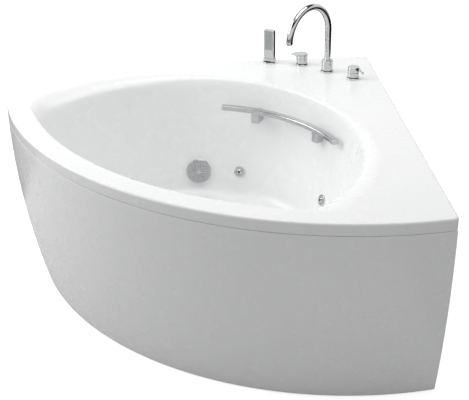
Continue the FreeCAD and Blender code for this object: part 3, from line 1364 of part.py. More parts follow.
def spout():
    """Swan-neck spout with its stem and collar."""
    x, y = TAPS["spout"]
    top = RIM_HEIGHT + BODY_TOP
    collar_low = top + COLLAR_GAP
    collar_high = collar_low + COLLAR_HEIGHT
    stem = rod(SPOUT_STEM_R, top - SPOUT_STEM, collar_low, x, y)
    collar = soften(rod(COLLAR_R, collar_low, collar_high, x, y), EDGE, lies_at(collar_high))
    path, tip, _ = spout_path(collar_high)
    neck = swept(path, V(x, y, collar_high), V(0, 0, 1), SPOUT_R)
    core = swept(path, V(x, y, collar_high), V(0, 0, 1), SPOUT_BORE_R)
    way = rod(STEM_WAY_R, top - SPOUT_STEM - 1.0, collar_high + 1.0, x, y)
    return join([stem, collar, neck]).cut([core, way, aerator_rod()])


def spout_path(start_level):
    """Axis of the spout above its collar, its tip and the direction there."""
    x, y = TAPS["spout"]
    sweep = math.radians(SPOUT_SWEEP)
    outward = V(math.cos(math.radians(SPOUT_TURN)), math.sin(math.radians(SPOUT_TURN)), 0)
    bend_level = RIM_HEIGHT + SPOUT_RISE
    centre = V(x, y, bend_level) + outward * SPOUT_BEND

    def on_bend(turn):
        return centre - outward * (SPOUT_BEND * math.cos(turn)) + V(0, 0, SPOUT_BEND * math.sin(turn))

    tip = on_bend(sweep)
    heading = outward * math.sin(sweep) + V(0, 0, math.cos(sweep))
    path = Part.Wire([
        Part.LineSegment(V(x, y, start_level), V(x, y, bend_level)).toShape(),
        Part.Arc(V(x, y, bend_level), on_bend(sweep / 2.0), tip).toShape()])
    return path, tip, heading


def aerator_rod(radius=AERATOR_R, inset=0.0):
    """Rod in the end of the spout, from `inset` past the aerator's inner end to its face."""
    _, tip, heading = spout_path(RIM_HEIGHT + BODY_TOP)
    start = tip - heading * (AERATOR_LENGTH - AERATOR_PROUD - inset)
    return Part.makeCylinder(radius, AERATOR_LENGTH - inset, start, heading)


def spout_aerator():
    """Aerator in the end of the spout, open below its perforated plate."""
    holes = []
    for ring, count in AERATOR_RINGS:
        for k in range(count):
            turn = 2.0 * math.pi * k / count
            holes.append((ring * math.cos(turn), ring * math.sin(turn)))
    _, tip, heading = spout_path(RIM_HEIGHT + BODY_TOP)
    side = V(0, 1, 0)
    across = heading.cross(side)
    start = tip - heading * (AERATOR_LENGTH - AERATOR_PROUD)
    length = AERATOR_PLATE + 2.0
    bores = [Part.makeCylinder(AERATOR_HOLE_R, length, start + side * a + across * b - heading, heading)
             for a, b in holes]
    return aerator_rod().cut([aerator_rod(AERATOR_R - AERATOR_WALL, AERATOR_PLATE)] + bores)


def handle_base(name):
    """Fixed lower part of a handle body."""
    x, y = TAPS[name]
    top = RIM_HEIGHT + LOWER_TOP
    body = rod(BODY_R, body_foot(), top, x, y).cut(shank_socket(x, y))
    neck = rod(SPOUT_STEM_R, top, top + TURN_NECK, x, y)
    return join([body, neck])


def turret(name, top_level):
    """Turning upper part of a handle body, hollow for the fixed neck."""
    x, y = TAPS[name]
    low = RIM_HEIGHT + LOWER_TOP + TURN_GAP
    body = soften(rod(BODY_R, low, top_level, x, y), EDGE, lies_at(top_level))
    return body.cut(rod(SPOUT_STEM_R + SPOUT_BORE_CLEAR, low - 1.0, low + TURN_NECK, x, y))


def mixer_turret():
    """Turning body under the mixer's lever."""
    return turret("mixer", RIM_HEIGHT + BODY_TOP - LEVER_THICK - LEVER_LIFT_GAP)


def mixer_lever():
    """Flat lever that lifts on the mixer's turret."""
    x, y = TAPS["mixer"]
    low = RIM_HEIGHT + BODY_TOP - LEVER_THICK
    high = RIM_HEIGHT + BODY_TOP
    disc = rod(BODY_R, low, high)
    end = BODY_R + LEVER_OUT
    outline = Part.makePolygon([V(0, -LEVER_ROOT / 2.0, low), V(end, -LEVER_TIP / 2.0, low),
                                V(end, LEVER_TIP / 2.0, low), V(0, LEVER_ROOT / 2.0, low),
                                V(0, -LEVER_ROOT / 2.0, low)])
    blade = Part.Face(outline).extrude(V(0, 0, LEVER_THICK))
    blade = soften(blade, LEVER_ROUND, lambda e: is_upright(e) and e.BoundBox.XMin > end - 1.0)
    lever = soften(join([disc, blade]), EDGE, lies_at(high))
    lever.rotate(V(0, 0, 0), V(0, 0, 1), LEVER_HEADING)
    lever.translate(V(x, y, 0))
    return lever


def diverter_knob():
    """Turning body of the diverter with its side pin."""
    x, y = TAPS["diverter"]
    knob = turret("diverter", RIM_HEIGHT + BODY_TOP)
    level = RIM_HEIGHT + PIN_LEVEL
    low = level - PIN_BOSS / 2.0
    half = PIN_BOSS / 2.0
    boss = box(BODY_R - PIN_ROOT, BODY_R + PIN_BOSS_PROUD, -half, half, low, low + PIN_BOSS)
    dip = math.radians(PIN_DIP)
    down = V(math.cos(dip), 0, -math.sin(dip))
    pin = Part.makeCylinder(PIN_R, PIN_LENGTH + PIN_ROOT, V(BODY_R, 0, level) - down * PIN_ROOT, down)
    tip = Part.makeCylinder(PIN_TIP_R, PIN_TIP, V(BODY_R, 0, level) + down * PIN_LENGTH, down)
    arm = join([boss, pin, tip])
    arm.rotate(V(0, 0, 0), V(0, 0, 1), PIN_HEADING)
    arm.translate(V(x, y, 0))
    return join([knob, arm])


def deck_seal(x, y):
    """Rubber washer under the deck."""
    return sleeve(DECK_SEAL_R, SHANK_R, UNDER_DECK - DECK_SEAL_THICK, UNDER_DECK, x, y)


def deck_nut(x, y):
    """Nut that clamps a fitting to the deck."""
    top = UNDER_DECK - DECK_SEAL_THICK
    return hex_nut(DECK_NUT_AF, SHANK_R, top - DECK_NUT_THICK, top, x, y)


def rubber_rings():
    """Groove rings and washers of the deck fittings, and the washer of the waste."""
    rings = [groove_ring(x, y) for x, y in TAPS.values()]
    return rings + [deck_seal(x, y) for x, y in TAPS.values()] + [waste_seal()]


def valve_block(name):
    """Valve body screwed on a shank, with two connection tails."""
    x, y = TAPS[name]
    top = UNDER_DECK - DECK_SEAL_THICK - DECK_NUT_THICK - VALVE_DROP
    foot = top - VALVE_HEIGHT
    body = soften(rod(VALVE_R, foot, top, x, y), 2.0, lies_at(foot))
    body = body.cut(rod(SHANK_R, UNDER_DECK - SHANK_LENGTH, top + 1.0, x, y))
    pieces = [body]
    bores = []
    for shift in (-TAIL_PITCH / 2.0, TAIL_PITCH / 2.0):
        pieces.append(rod(TAIL_R, foot - TAIL_LENGTH, foot, x, y + shift))
        bores.append(rod(TAIL_BORE_R, foot - TAIL_LENGTH - 1.0, foot + 6.0, x, y + shift))
    return join(pieces).cut(bores)


# ---- hand shower --------------------------------------------------------
def shower_turned(shape):
    """Turn a shape drawn along X to the shower's place and heading."""
    shape.rotate(V(0, 0, 0), V(0, 0, 1), SHOWER_TURN)
    shape.translate(V(SHOWER_BACK, SHOWER_SIDE, 0))
    return shape


def handset_block(grow, z0, z1):
    """Rectangular bar of the handset's section."""
    depth = HANDSET_DEPTH / 2.0 + grow
    width = HANDSET_WIDTH / 2.0 + grow
    block = box(-depth, depth, -width, width, z0, z1)
    return soften(block, HANDSET_ROUND + grow, is_upright)


def shower_holder():
    """Socket on the deck in which the handset stands."""
    low = body_foot()
    top = RIM_HEIGHT + HOLDER_TOP
    cup = handset_block(HOLDER_CLEAR + HOLDER_WALL, low, top)
    cup = soften(cup, EDGE, lies_at(top))
    well = handset_block(HOLDER_CLEAR, RIM_HEIGHT + HANDSET_BASE - HOLDER_CLEAR, top + 1.0)
    return shower_turned(cup.cut([well, rod(HOSE_BORE_R, low - 1.0, top)]))


def hand_shower():
    """Flat handset with its hose connection."""
    foot = RIM_HEIGHT + HANDSET_BASE
    top = RIM_HEIGHT + HANDSET_TOP
    body = handset_block(0.0, foot, top)
    body = soften(body, 2.0, lies_at(top))
    front = HANDSET_DEPTH / 2.0
    pocket = face_block(0.0, front - FACE_THICK, front + 5.0)
    seam = handset_block(1.0, top - 12.0, top - 11.0).cut(handset_block(-0.8, top - 13.0, top - 10.0))
    nipple = sleeve(HOSE_NIPPLE_R, 5.0, foot - HOSE_NIPPLE, foot + 1.0)
    return shower_turned(join([body.cut([pocket, seam]), nipple]))


def face_block(grow, x0, x1):
    """Rounded rectangle of the spray face."""
    low = RIM_HEIGHT + HANDSET_BASE + FACE_LEVEL - FACE_HEIGHT / 2.0 + 20.0 - grow
    half = FACE_WIDTH / 2.0 + grow
    block = box(x0, x1, -half, half, low, low + FACE_HEIGHT + 2.0 * grow)
    return soften(block, FACE_ROUND + grow, lambda e: e.BoundBox.YLength < 1e-6 and e.BoundBox.ZLength < 1e-6)


def spray_face():
    """Soft face plate with its nozzles."""
    front = HANDSET_DEPTH / 2.0
    plate = face_block(-0.1, front - FACE_THICK, front)
    middle = (plate.BoundBox.ZMin + plate.BoundBox.ZMax) / 2.0
    nozzles = []
    for i in range(NOZZLE_COLUMNS):
        for j in range(NOZZLE_ROWS):
            y = (i - (NOZZLE_COLUMNS - 1) / 2.0) * FACE_WIDTH / (NOZZLE_COLUMNS + 0.5)
            z = middle + (j - (NOZZLE_ROWS - 1) / 2.0) * FACE_HEIGHT / (NOZZLE_ROWS + 0.5)
            nozzles.append(Part.makeCone(NOZZLE_R, NOZZLE_R * 0.7, NOZZLE_PROUD, V(front, y, z), V(1, 0, 0)))
    return shower_turned(join([plate] + nozzles))


# ---- assembly -----------------------------------------------------------
def build():
    """All nodes by name, in the corner frame."""
    holders, strikes = panel_catches()
    studs, nuts, pads = legs()
    stand, pump_feet = pump_stand()
    bolts, bolt_nuts = post_bolts()
    nodes = {
        "tub_shell": tub_shell(),
        "front_panel": front_panel(),
        "panel_magnet_holders": group(holders),
        "panel_strike_plates": group(strikes),
        "panel_stays": group(panel_stays()),
        "base_board": base_board(),
        "frame_tubes": group(frame_rails() + [tube_z(x, y) for x, y in post_places()]),
        "tube_end_caps": group(tube_caps()),
        "leg_studs_and_nuts": group(studs + nuts),
        "foot_pads": group(pads),
        "waste_flange": waste_flange(),
        "waste_plug": waste_plug(),
        "waste_body": waste_body(),
        "waste_trap": waste_trap(),
        "trap_nut": trap_nut(),
        "overflow_body": overflow_body(),
        "overflow_cover": overflow_cover(),
        "overflow_knob": overflow_knob(),
        "overflow_pipe": overflow_pipe(),
        "suction_body": suction_body(),
        "suction_grille": suction_grille(),
        "suction_screw": suction_screw(),
        "suction_line": suction_line(),
        "pressure_line": pressure_line(),
        "jet_bodies": group([jet_body(seat, front) for seat, front in JETS]),
        "wall_nuts": group(wall_nuts()),
        "pump_volute": pump_volute(),
        "pump_motor": pump_motor(),
        "motor_cowl": motor_cowl(),
        "terminal_box": terminal_box(),
        "pump_stand": stand,
        "pump_feet": group(pump_feet),
        "button_bezel": button_bezel(),
        "air_button": air_button(),
        "grab_bar": grab_bar(),
        "grab_posts": group(grab_posts()),
        "grab_bolts_and_nuts": group(bolts + bolt_nuts),
        "deck_roses": group([deck_rose(x, y) for x, y in TAPS.values()]),
        "rubber_rings": group(rubber_rings()),
        "tap_shanks": group(tap_shanks()),
        "deck_nuts": group([deck_nut(x, y) for x, y in TAPS.values()]),
        "spout_base": spout_base(),
        "spout": spout(),
        "spout_aerator": spout_aerator(),
        "handle_bases": group([handle_base("mixer"), handle_base("diverter")]),
        "mixer_turret": mixer_turret(),
        "mixer_lever": mixer_lever(),
        "diverter_knob": diverter_knob(),
        "valve_blocks": group([valve_block("mixer"), valve_block("diverter")]),
        "shower_holder": shower_holder(),
        "hand_shower": hand_shower(),
        "spray_face": spray_face(),
    }
    for number, (seat, _) in enumerate(JETS, start=1):
        nodes["jet_ring_%d" % number] = jet_ring(seat)
        nodes["jet_nozzle_%d" % number] = jet_nozzle(seat)
    return nodes


def main():
    """Write one STEP file per node."""
    os.makedirs("parts", exist_ok=True)
    for name, shape in build().items():
        place(shape).exportStep("parts/%s.step" % name)


main()
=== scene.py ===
"""Looks of a corner bathtub with water jets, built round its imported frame.

Lengths are metres and +Z is up. Shapes are worked out in the tub's corner
frame: x runs from the room corner along the bisector of the two walls, y runs
across it and z is height above the floor. `CornerFrame` carries finished
arrays into the stored frame, where the walls are at +X and +Y.
"""

import logging
import math
from dataclasses import dataclass
from enum import Enum
from typing import Optional, Sequence

import bmesh
import bpy
import numpy as np
from mathutils import Matrix, Vector

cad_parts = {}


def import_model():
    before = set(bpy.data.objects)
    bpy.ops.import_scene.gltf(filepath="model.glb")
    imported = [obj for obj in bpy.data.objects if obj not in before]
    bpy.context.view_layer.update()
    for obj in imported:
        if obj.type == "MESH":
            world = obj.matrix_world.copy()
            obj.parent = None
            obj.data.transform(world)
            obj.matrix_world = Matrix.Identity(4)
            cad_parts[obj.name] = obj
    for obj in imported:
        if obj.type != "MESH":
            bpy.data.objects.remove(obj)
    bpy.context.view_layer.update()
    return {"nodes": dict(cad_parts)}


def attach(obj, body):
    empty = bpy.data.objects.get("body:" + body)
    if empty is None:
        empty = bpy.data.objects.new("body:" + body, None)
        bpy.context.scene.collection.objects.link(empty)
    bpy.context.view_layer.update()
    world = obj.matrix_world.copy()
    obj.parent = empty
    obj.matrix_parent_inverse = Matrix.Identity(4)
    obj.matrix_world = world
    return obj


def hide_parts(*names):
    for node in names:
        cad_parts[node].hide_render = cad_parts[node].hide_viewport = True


Array = np.ndarray
Colour = tuple[float, float, float, float]
Points = Sequence[tuple[float, float]]
ROOT2 = math.sqrt(2.0)
TURN = 2.0 * math.pi
WELD = 2e-6
SIDE_SHARE = 0.45
STRAIGHT = math.radians(89.0)
LOG = logging.getLogger("corner_tub")


# ---------------------------------------------------------------- frame
@dataclass(frozen=True)
class CornerFrame:
    """The frame whose first axis is the bisector of the two walls.

    Args:
        side: Length of the tub along each wall.
    """

    side: float = 1.5

    def to_row(self, points: Array) -> Array:
        """Turn corner-frame points by -135 degrees and move them to the stored frame."""
        x, y, z = points[..., 0], points[..., 1], points[..., 2]
        half = self.side / 2.0
        return np.stack([half + (y - x) / ROOT2, half - (x + y) / ROOT2, z], axis=-1)


CORNER = CornerFrame()


# ---------------------------------------------------------------- meshes
class Form:
    """Collects grids of points and turns them into one closed mesh object."""

    def __init__(self) -> None:
        """Start with no points and no faces."""
        self.points: list[Array] = []
        self.faces: list[Array] = []
        self.slots: list[Array] = []
        self.count = 0

    def grid(self, points: Array, wrap: bool = True, loop: bool = False, slot: int = 0) -> "Form":
        """Add a sheet of four-sided faces.

        Args:
            points: Array of shape (rows, columns, 3).
            wrap: Join the last column to the first.
            loop: Join the last row to the first.
            slot: Index of the material of these faces.

        Returns:
            This form, so that calls can be chained.
        """
        rows, columns = points.shape[:2]
        index = np.arange(rows * columns).reshape(rows, columns) + self.count
        if wrap:
            index = np.concatenate([index, index[:, :1]], axis=1)
        if loop:
            index = np.concatenate([index, index[:1]], axis=0)
        quads = np.stack([index[:-1, :-1], index[1:, :-1], index[1:, 1:], index[:-1, 1:]], axis=-1)
        self.points.append(points.reshape(-1, 3))
        self.faces.append(quads.reshape(-1, 4))
        self.slots.append(np.full(quads.shape[0] * quads.shape[1], slot, np.int32))
        self.count += rows * columns
        return self

    def build(self, name: str, materials: Sequence[bpy.types.Material],
              sharp: float = 32.0) -> bpy.types.Object:
        """Make the object: merged points, outward faces, smooth up to an angle.

        Args:
            name: Name of the piece.
            materials: Materials in the order of their slots.
            sharp: Edges that turn by more degrees than this stay sharp.

        Returns:
            The new object, at the origin.
        """
        vertices = CORNER.to_row(np.concatenate(self.points))
        quads = np.concatenate(self.faces)
        mesh = bpy.data.meshes.new(name)
        mesh.from_pydata(vertices, [], quads)
        mesh.polygons.foreach_set("material_index", np.concatenate(self.slots))
        return finish_mesh(mesh, name, materials, sharp)


def smooth(mesh: bpy.types.Mesh, sharp: float = 32.0) -> None:
    """Shade smoothly across every edge that turns by no more than an angle."""
    mesh.polygons.foreach_set("use_smooth", np.ones(len(mesh.polygons), bool))
    mesh.set_sharp_from_angle(angle=math.radians(sharp))


def finish_mesh(mesh: bpy.types.Mesh, name: str, materials: Sequence[bpy.types.Material],
                sharp: float) -> bpy.types.Object:
    """Merge doubles, point the faces outwards, set the shading and link an object."""
    work = bmesh.new()
    work.from_mesh(mesh)
    bmesh.ops.remove_doubles(work, verts=work.verts, dist=WELD)
    bmesh.ops.dissolve_degenerate(work, edges=work.edges, dist=WELD / 20.0)
    bmesh.ops.recalc_face_normals(work, faces=work.faces)
    work.to_mesh(mesh)
    work.free()
    smooth(mesh, sharp)
    for material in materials:
        mesh.materials.append(material)
    piece = bpy.data.objects.new(name, mesh)
    bpy.context.scene.collection.objects.link(piece)
    return piece


def drill(piece: bpy.types.Object, cutter: bpy.types.Object) -> None:
    """Cut one closed mesh out of another and keep the result as a plain mesh."""
    modifier = piece.modifiers.new("cut", "BOOLEAN")
    modifier.operation = "DIFFERENCE"
    modifier.solver = "MANIFOLD"
    modifier.object = cutter
    bpy.context.view_layer.update()
    graph = bpy.context.evaluated_depsgraph_get()
    mesh = bpy.data.meshes.new_from_object(piece.evaluated_get(graph))
    piece.modifiers.remove(modifier)
    piece.data = mesh
    bpy.data.objects.remove(cutter)
    smooth(mesh)


def rounded(points: Points, radii: float | Sequence[float], steps: int = 5, closed: bool = True) -> Array:
    """Outline with its corners replaced by arcs.

    Each corner gives way to an arc tangent to its two sides; the arc's radius is
    limited to what SIDE_SHARE of the shorter side allows.

    Args:
        points: Corners in order.
        radii: One radius, or one for each corner.
        steps: Segments in each arc.
        closed: Whether the last corner joins the first.

    Returns:
        Array of shape (n, 2).
    """
    corners = np.asarray(points, float)
    total = len(corners)
    sizes = np.broadcast_to(np.asarray(radii, float), (total,))
    out: list[Array] = []
    for k in range(total):
        here = corners[k]
        if sizes[k] <= 0.0 or (not closed and k in (0, total - 1)):
            out.append(here[None])
            continue
        back, ahead = corners[k - 1] - here, corners[(k + 1) % total] - here
        lengths = np.linalg.norm(back), np.linalg.norm(ahead)
        back, ahead = back / lengths[0], ahead / lengths[1]
        half = math.acos(float(np.clip(back @ ahead, -1.0, 1.0))) / 2.0
        if half > STRAIGHT:
            out.append(here[None])
            continue
        reach = min(sizes[k] / math.tan(half), SIDE_SHARE * min(lengths))
        radius = reach * math.tan(half)
        centre = here + (back + ahead) / np.linalg.norm(back + ahead) * radius / math.sin(half)
        first, last = here + back * reach - centre, here + ahead * reach - centre
        start = math.atan2(first[1], first[0])
        turn = (math.atan2(last[1], last[0]) - start + math.pi) % TURN - math.pi
        angles = start + turn * np.linspace(0.0, 1.0, steps + 1)
        out.append(centre + radius * np.stack([np.cos(angles), np.sin(angles)], axis=-1))
    return np.concatenate(out)


def turned(profile: Array, segments: int = 64) -> Array:
    """Surface of revolution about local Z.

    Every (radius, height) point of the profile becomes a circle.

    Args:
        profile: Array of shape (n, 2).
        segments: Points in each circle.

    Returns:
        Array of shape (n, segments, 3).
    """
    return circles(profile[:, :1], np.linspace(0.0, TURN, segments, endpoint=False), profile[:, 1:2])


def circles(radius: Array, angle: Array, height: Array) -> Array:
    """Points at (radius cos angle, radius sin angle, height); the arguments broadcast together."""
    return np.stack(np.broadcast_arrays(radius * np.cos(angle), radius * np.sin(angle), height), axis=-1)


def carried(path: Array, section: Array, scale: Array) -> Array:
    """Closed section carried along a path, square to it.

    At each path point the section's first axis lies along tangent x Z and its
    second axis along the cross product of that and the tangent.

    Args:
        path: Array of shape (n, 3).
        section: Array of shape (m, 2).
        scale: Factors of shape (n, 2) on the section's two axes.

    Returns:
        Array of shape (n, m, 3).
    """
    tangent = np.gradient(path, axis=0)
    tangent /= np.linalg.norm(tangent, axis=1, keepdims=True)
    side = np.cross(tangent, [0.0, 0.0, 1.0])
    side /= np.linalg.norm(side, axis=1, keepdims=True)
    rise = np.cross(side, tangent)
    first = section[None, :, :1] * scale[:, None, :1]
    second = section[None, :, 1:] * scale[:, None, 1:]
    return path[:, None] + first * side[:, None] + second * rise[:, None]


def with_caps(rows: Array) -> Array:
    """Close the two ends of a carried section by a point in the middle of each."""
    first = np.broadcast_to(rows[0].mean(0), rows[0].shape)
    last = np.broadcast_to(rows[-1].mean(0), rows[-1].shape)
    return np.concatenate([first[None], rows, last[None]])


@dataclass(frozen=True)
class Placing:
    """Position and turn of a local frame in the corner frame.

    Args:
        origin: Where the local origin lies.
        axes: Local X, Y and Z as rows.
    """

    origin: Array
    axes: Array

    @staticmethod
    def upright(x: float, y: float, z: float, turn: float = 0.0) -> "Placing":
        """Local Z up, local X turned by degrees from the bisector."""
        c, s = math.cos(math.radians(turn)), math.sin(math.radians(turn))
        return Placing(np.array([x, y, z]), np.array([[c, s, 0.0], [-s, c, 0.0], [0.0, 0.0, 1.0]]))

    @staticmethod
    def along(origin: Sequence[float], normal: Sequence[float]) -> "Placing":
        """Local Z along a normal that isn't upright, local X level."""
        z = np.asarray(normal, float) / np.linalg.norm(normal)
        x = np.cross([0.0, 0.0, 1.0], z)
        x = x / np.linalg.norm(x)
        return Placing(np.asarray(origin, float), np.stack([x, np.cross(z, x), z]))

    def put(self, points: Array) -> Array:
        """Local points in the corner frame."""
        return self.origin + points @ self.axes


# ---------------------------------------------------------------- shader maths
class Sock:
    """A shader socket that can be used in plain arithmetic."""

    def __init__(self, graph: "Graph", socket: bpy.types.NodeSocket) -> None:
        """Wrap one output socket of a graph."""
        self.graph = graph
        self.socket = socket

    def _math(self, operation: str, first: object, second: object) -> "Sock":
        """One Math node."""
        node = self.graph.node("ShaderNodeMath", {"operation": operation}, {0: first, 1: second})
        return Sock(self.graph, node.outputs[0])

    def __add__(self, other: object) -> "Sock":
        """Sum."""
        return self._math("ADD", self, other)

    __radd__ = __add__

    def __sub__(self, other: object) -> "Sock":
        """Difference."""
        return self._math("SUBTRACT", self, other)

    def __rsub__(self, other: object) -> "Sock":
        """Reflected difference."""
        return self._math("SUBTRACT", other, self)

    def __mul__(self, other: object) -> "Sock":
        """Product."""
        return self._math("MULTIPLY", self, other)

    __rmul__ = __mul__

    def ramp(self, low: float, high: float) -> "Sock":
        """0 below `low`, 1 above `high` and a smooth step between them."""
        settings = {"interpolation_type": "SMOOTHSTEP"}
        node = self.graph.node("ShaderNodeMapRange", settings, {0: self, 1: low, 2: high})
        return Sock(self.graph, node.outputs[0])


class Graph:
    """Node tree of one material, with a Principled shader at its end, or of a world."""

    def __init__(self, name: str, world: Optional[bpy.types.World] = None) -> None:
        """Make the material and its shader, or empty the world's tree."""
        self.material = world or bpy.data.materials.new(name)
        self.material.use_nodes = True
        self.tree = self.material.node_tree
        if world:
            self.tree.nodes.clear()
        self.shader = self.tree.nodes.get("Principled BSDF")
        self._coords: Optional[Sock] = None

    def node(self, kind: str, settings: dict[str, object], inputs: dict[object, object]) -> bpy.types.Node:
        """Add a node: settings first, then values or links of its sockets."""
        made = self.tree.nodes.new(kind)
        for key, value in settings.items():
            setattr(made, key, value)
        for key, value in inputs.items():
            self.feed(made.inputs[key], value)
        return made

    def feed(self, socket: bpy.types.NodeSocket, value: object) -> None:
        """Link a Sock or set a constant."""
        if isinstance(value, Sock):
            self.tree.links.new(value.socket, socket)
        else:
            socket.default_value = value

    @property
    def coords(self) -> Sock:
        """Object coordinates."""
        if self._coords is None:
            self._coords = Sock(self, self.node("ShaderNodeTexCoord", {}, {}).outputs["Object"])
        return self._coords

    def mapped(self, scale: tuple[float, float, float], turn: float = 0.0) -> Sock:
        """Object coordinates stretched by a scale and turned about Z by degrees."""
        inputs = {"Vector": self.coords, "Scale": scale, "Rotation": (0.0, 0.0, math.radians(turn))}
        return Sock(self, self.node("ShaderNodeMapping", {}, inputs).outputs[0])

    def noise(self, scale: float, detail: float = 2.0, rough: float = 0.5, at: Optional[Sock] = None,
              distort: float = 0.0) -> Sock:
        """Value noise; `scale` counts features in a metre."""
        inputs = {"Vector": at or self.coords, "Scale": scale, "Detail": detail, "Roughness": rough,
                  "Distortion": distort}
        return Sock(self, self.node("ShaderNodeTexNoise", {}, inputs).outputs[0])

    def cells(self, scale: float, output: str = "Distance", at: Optional[Sock] = None) -> Sock:
        """Voronoi cells; `scale` counts cells in a metre."""
        node = self.node("ShaderNodeTexVoronoi", {}, {"Vector": at or self.coords, "Scale": scale})
        return Sock(self, node.outputs[output])

    def part(self, vector: Sock, index: int) -> Sock:
        """One component of a vector."""
        return Sock(self, self.node("ShaderNodeSeparateXYZ", {}, {0: vector}).outputs[index])

    def blend(self, factor: object, first: object, second: object) -> Sock:
        """Colour between two colours."""
        node = self.node("ShaderNodeMix", {"data_type": "RGBA"}, {0: factor, 6: first, 7: second})
        return Sock(self, node.outputs[2])

    def bump(self, height: Sock, distance: float, strength: float = 1.0) -> Sock:
        """Normal bent by a height in units of `distance` metres."""
        inputs = {"Height": height, "Distance": distance, "Strength": strength}
        return Sock(self, self.node("ShaderNodeBump", {}, inputs).outputs[0])

    def dress(self, **values: object) -> bpy.types.Material:
        """Feed the shader's sockets, named with underscores, and return the material."""
        for key, value in values.items():
            self.feed(self.shader.inputs[key.replace("_", " ")], value)
        return self.material


def grey(level: float) -> Colour:
    """Opaque neutral colour."""
    return (level, level, level, 1.0)


def tint(red: float, green: float, blue: float) -> Colour:
    """Opaque colour."""
    return (red, green, blue, 1.0)


# ---------------------------------------------------------------- finishes
@dataclass(frozen=True)
class Acrylic:
    """Polished white sanitary acrylic with faint moulding waves and water haze."""

    base: Colour = (0.925, 0.932, 0.930, 1.0)
    shade: Colour = (0.915, 0.922, 0.921, 1.0)
    gloss: float = 0.26
    haze: float = 0.03
    wave: float = 0.00002

    def material(self) -> bpy.types.Material:
        """Build the material."""
        g = Graph("white_acrylic")
        cloud = g.noise(3.0, 3.0, 0.55)
        film = g.noise(14.0, 2.0, 0.5)
        waves = g.noise(5.0, 1.0, 0.4)
        peel = g.noise(420.0, 1.0, 0.4)
        normal = g.bump(waves + peel * 0.01, self.wave)
        return g.dress(Base_Color=g.blend(cloud.ramp(0.35, 0.75), self.base, self.shade),
                       Roughness=film.ramp(0.35, 0.8) * self.haze + self.gloss,
                       Normal=normal, IOR=1.46, Coat_Weight=0.05, Coat_Roughness=0.12)


@dataclass(frozen=True)
class GlassFibre:
    """Sprayed glass-fibre backing: milky resin with chopped strands and lumps."""

    resin: Colour = (0.72, 0.72, 0.64, 1.0)
    strand: Colour = (0.86, 0.87, 0.82, 1.0)

    def material(self) -> bpy.types.Material:
        """Build the material."""
        g = Graph("glass_fibre_backing")
        first = g.noise(1.0, 3.0, 0.7, g.mapped((520.0, 60.0, 60.0), 25.0), 0.6)
        second = g.noise(1.0, 3.0, 0.7, g.mapped((60.0, 520.0, 60.0), -18.0), 0.6)
        third = g.noise(1.0, 3.0, 0.7, g.mapped((70.0, 70.0, 480.0), 50.0), 0.6)
        strands = (first.ramp(0.52, 0.66) + second.ramp(0.52, 0.66) + third.ramp(0.54, 0.68)) * 0.4
        lumps = g.noise(26.0, 3.0, 0.6)
        height = strands * 0.5 + lumps * 1.6
        return g.dress(Base_Color=g.blend(strands, self.resin, self.strand),
                       Roughness=0.55 - strands * 0.2, Normal=g.bump(height, 0.0022, 0.9), IOR=1.5)


@dataclass(frozen=True)
class Chrome:
    """Bright chrome plate with faint wipe marks and dried drops."""

    base: Colour = (0.58, 0.59, 0.60, 1.0)
    gloss: float = 0.035

    def material(self) -> bpy.types.Material:
        """Build the material."""
        g = Graph("chrome_plate")
        wipe = g.noise(1.0, 3.0, 0.6, g.mapped((220.0, 60.0, 900.0), 20.0))
        drops = g.cells(160.0)
        ring = drops.ramp(0.30, 0.36) * (1.0 - drops.ramp(0.38, 0.46))
        rough = wipe.ramp(0.4, 0.8) * 0.05 + ring * 0.05 + self.gloss
        return g.dress(Base_Color=g.blend(ring, self.base, grey(0.50)), Metallic=1.0, Roughness=rough,
                       Normal=g.bump(wipe, 0.00002))


@dataclass(frozen=True)
class Plated:
    """Zinc-plated steel with a grained, slightly cloudy surface."""

    name: str = "zinc_plate"
    base: Colour = (0.60, 0.61, 0.60, 1.0)
    stain: Colour = (0.48, 0.47, 0.43, 1.0)
    rough: float = 0.34

    def material(self) -> bpy.types.Material:
        """Build the material."""
        g = Graph(self.name)
        cloud = g.noise(45.0, 4.0, 0.6)
        grain = g.noise(1.0, 2.0, 0.6, g.mapped((1400.0, 90.0, 1400.0), 45.0))
        return g.dress(Base_Color=g.blend(cloud.ramp(0.45, 0.75), self.base, self.stain), Metallic=0.95,
                       Roughness=cloud * 0.2 + self.rough - 0.1, Normal=g.bump(grain + cloud, 0.00006))


@dataclass(frozen=True)
class Galvanised:
    """Hot-dip galvanised tube with its spangle."""

    light: Colour = (0.68, 0.69, 0.70, 1.0)
    dark: Colour = (0.46, 0.48, 0.50, 1.0)

    def material(self) -> bpy.types.Material:
        """Build the material."""
        g = Graph("galvanised_steel")
        flake = g.part(g.cells(130.0, "Color"), 0)
        dust = g.noise(30.0, 4.0, 0.65)
        mix = flake * 0.6 + dust * 0.4
        return g.dress(Base_Color=g.blend(mix, self.light, self.dark), Metallic=0.85,
                       Roughness=flake * 0.18 + dust.ramp(0.4, 0.8) * 0.15 + 0.28,
                       Normal=g.bump(dust, 0.0002))


@dataclass(frozen=True)
class Moulded:
    """Moulded plastic: plain colour with a fine spark-eroded grain and scuffs."""

    name: str
    base: Colour
    worn: Colour
    rough: float = 0.45
    grain: float = 900.0
    depth: float = 0.00005

    def material(self) -> bpy.types.Material:
        """Build the material."""
        g = Graph(self.name)
        grain = g.cells(self.grain)
        scuff = g.noise(1.0, 5.0, 0.7, g.mapped((60.0, 180.0, 90.0), 33.0), 0.8).ramp(0.58, 0.74)
        flow = g.noise(14.0, 2.0, 0.5)
        return g.dress(Base_Color=g.blend(scuff * 0.5 + flow * 0.2, self.base, self.worn),
                       Roughness=scuff * 0.15 + self.rough, Normal=g.bump(grain + flow, self.depth), IOR=1.5)


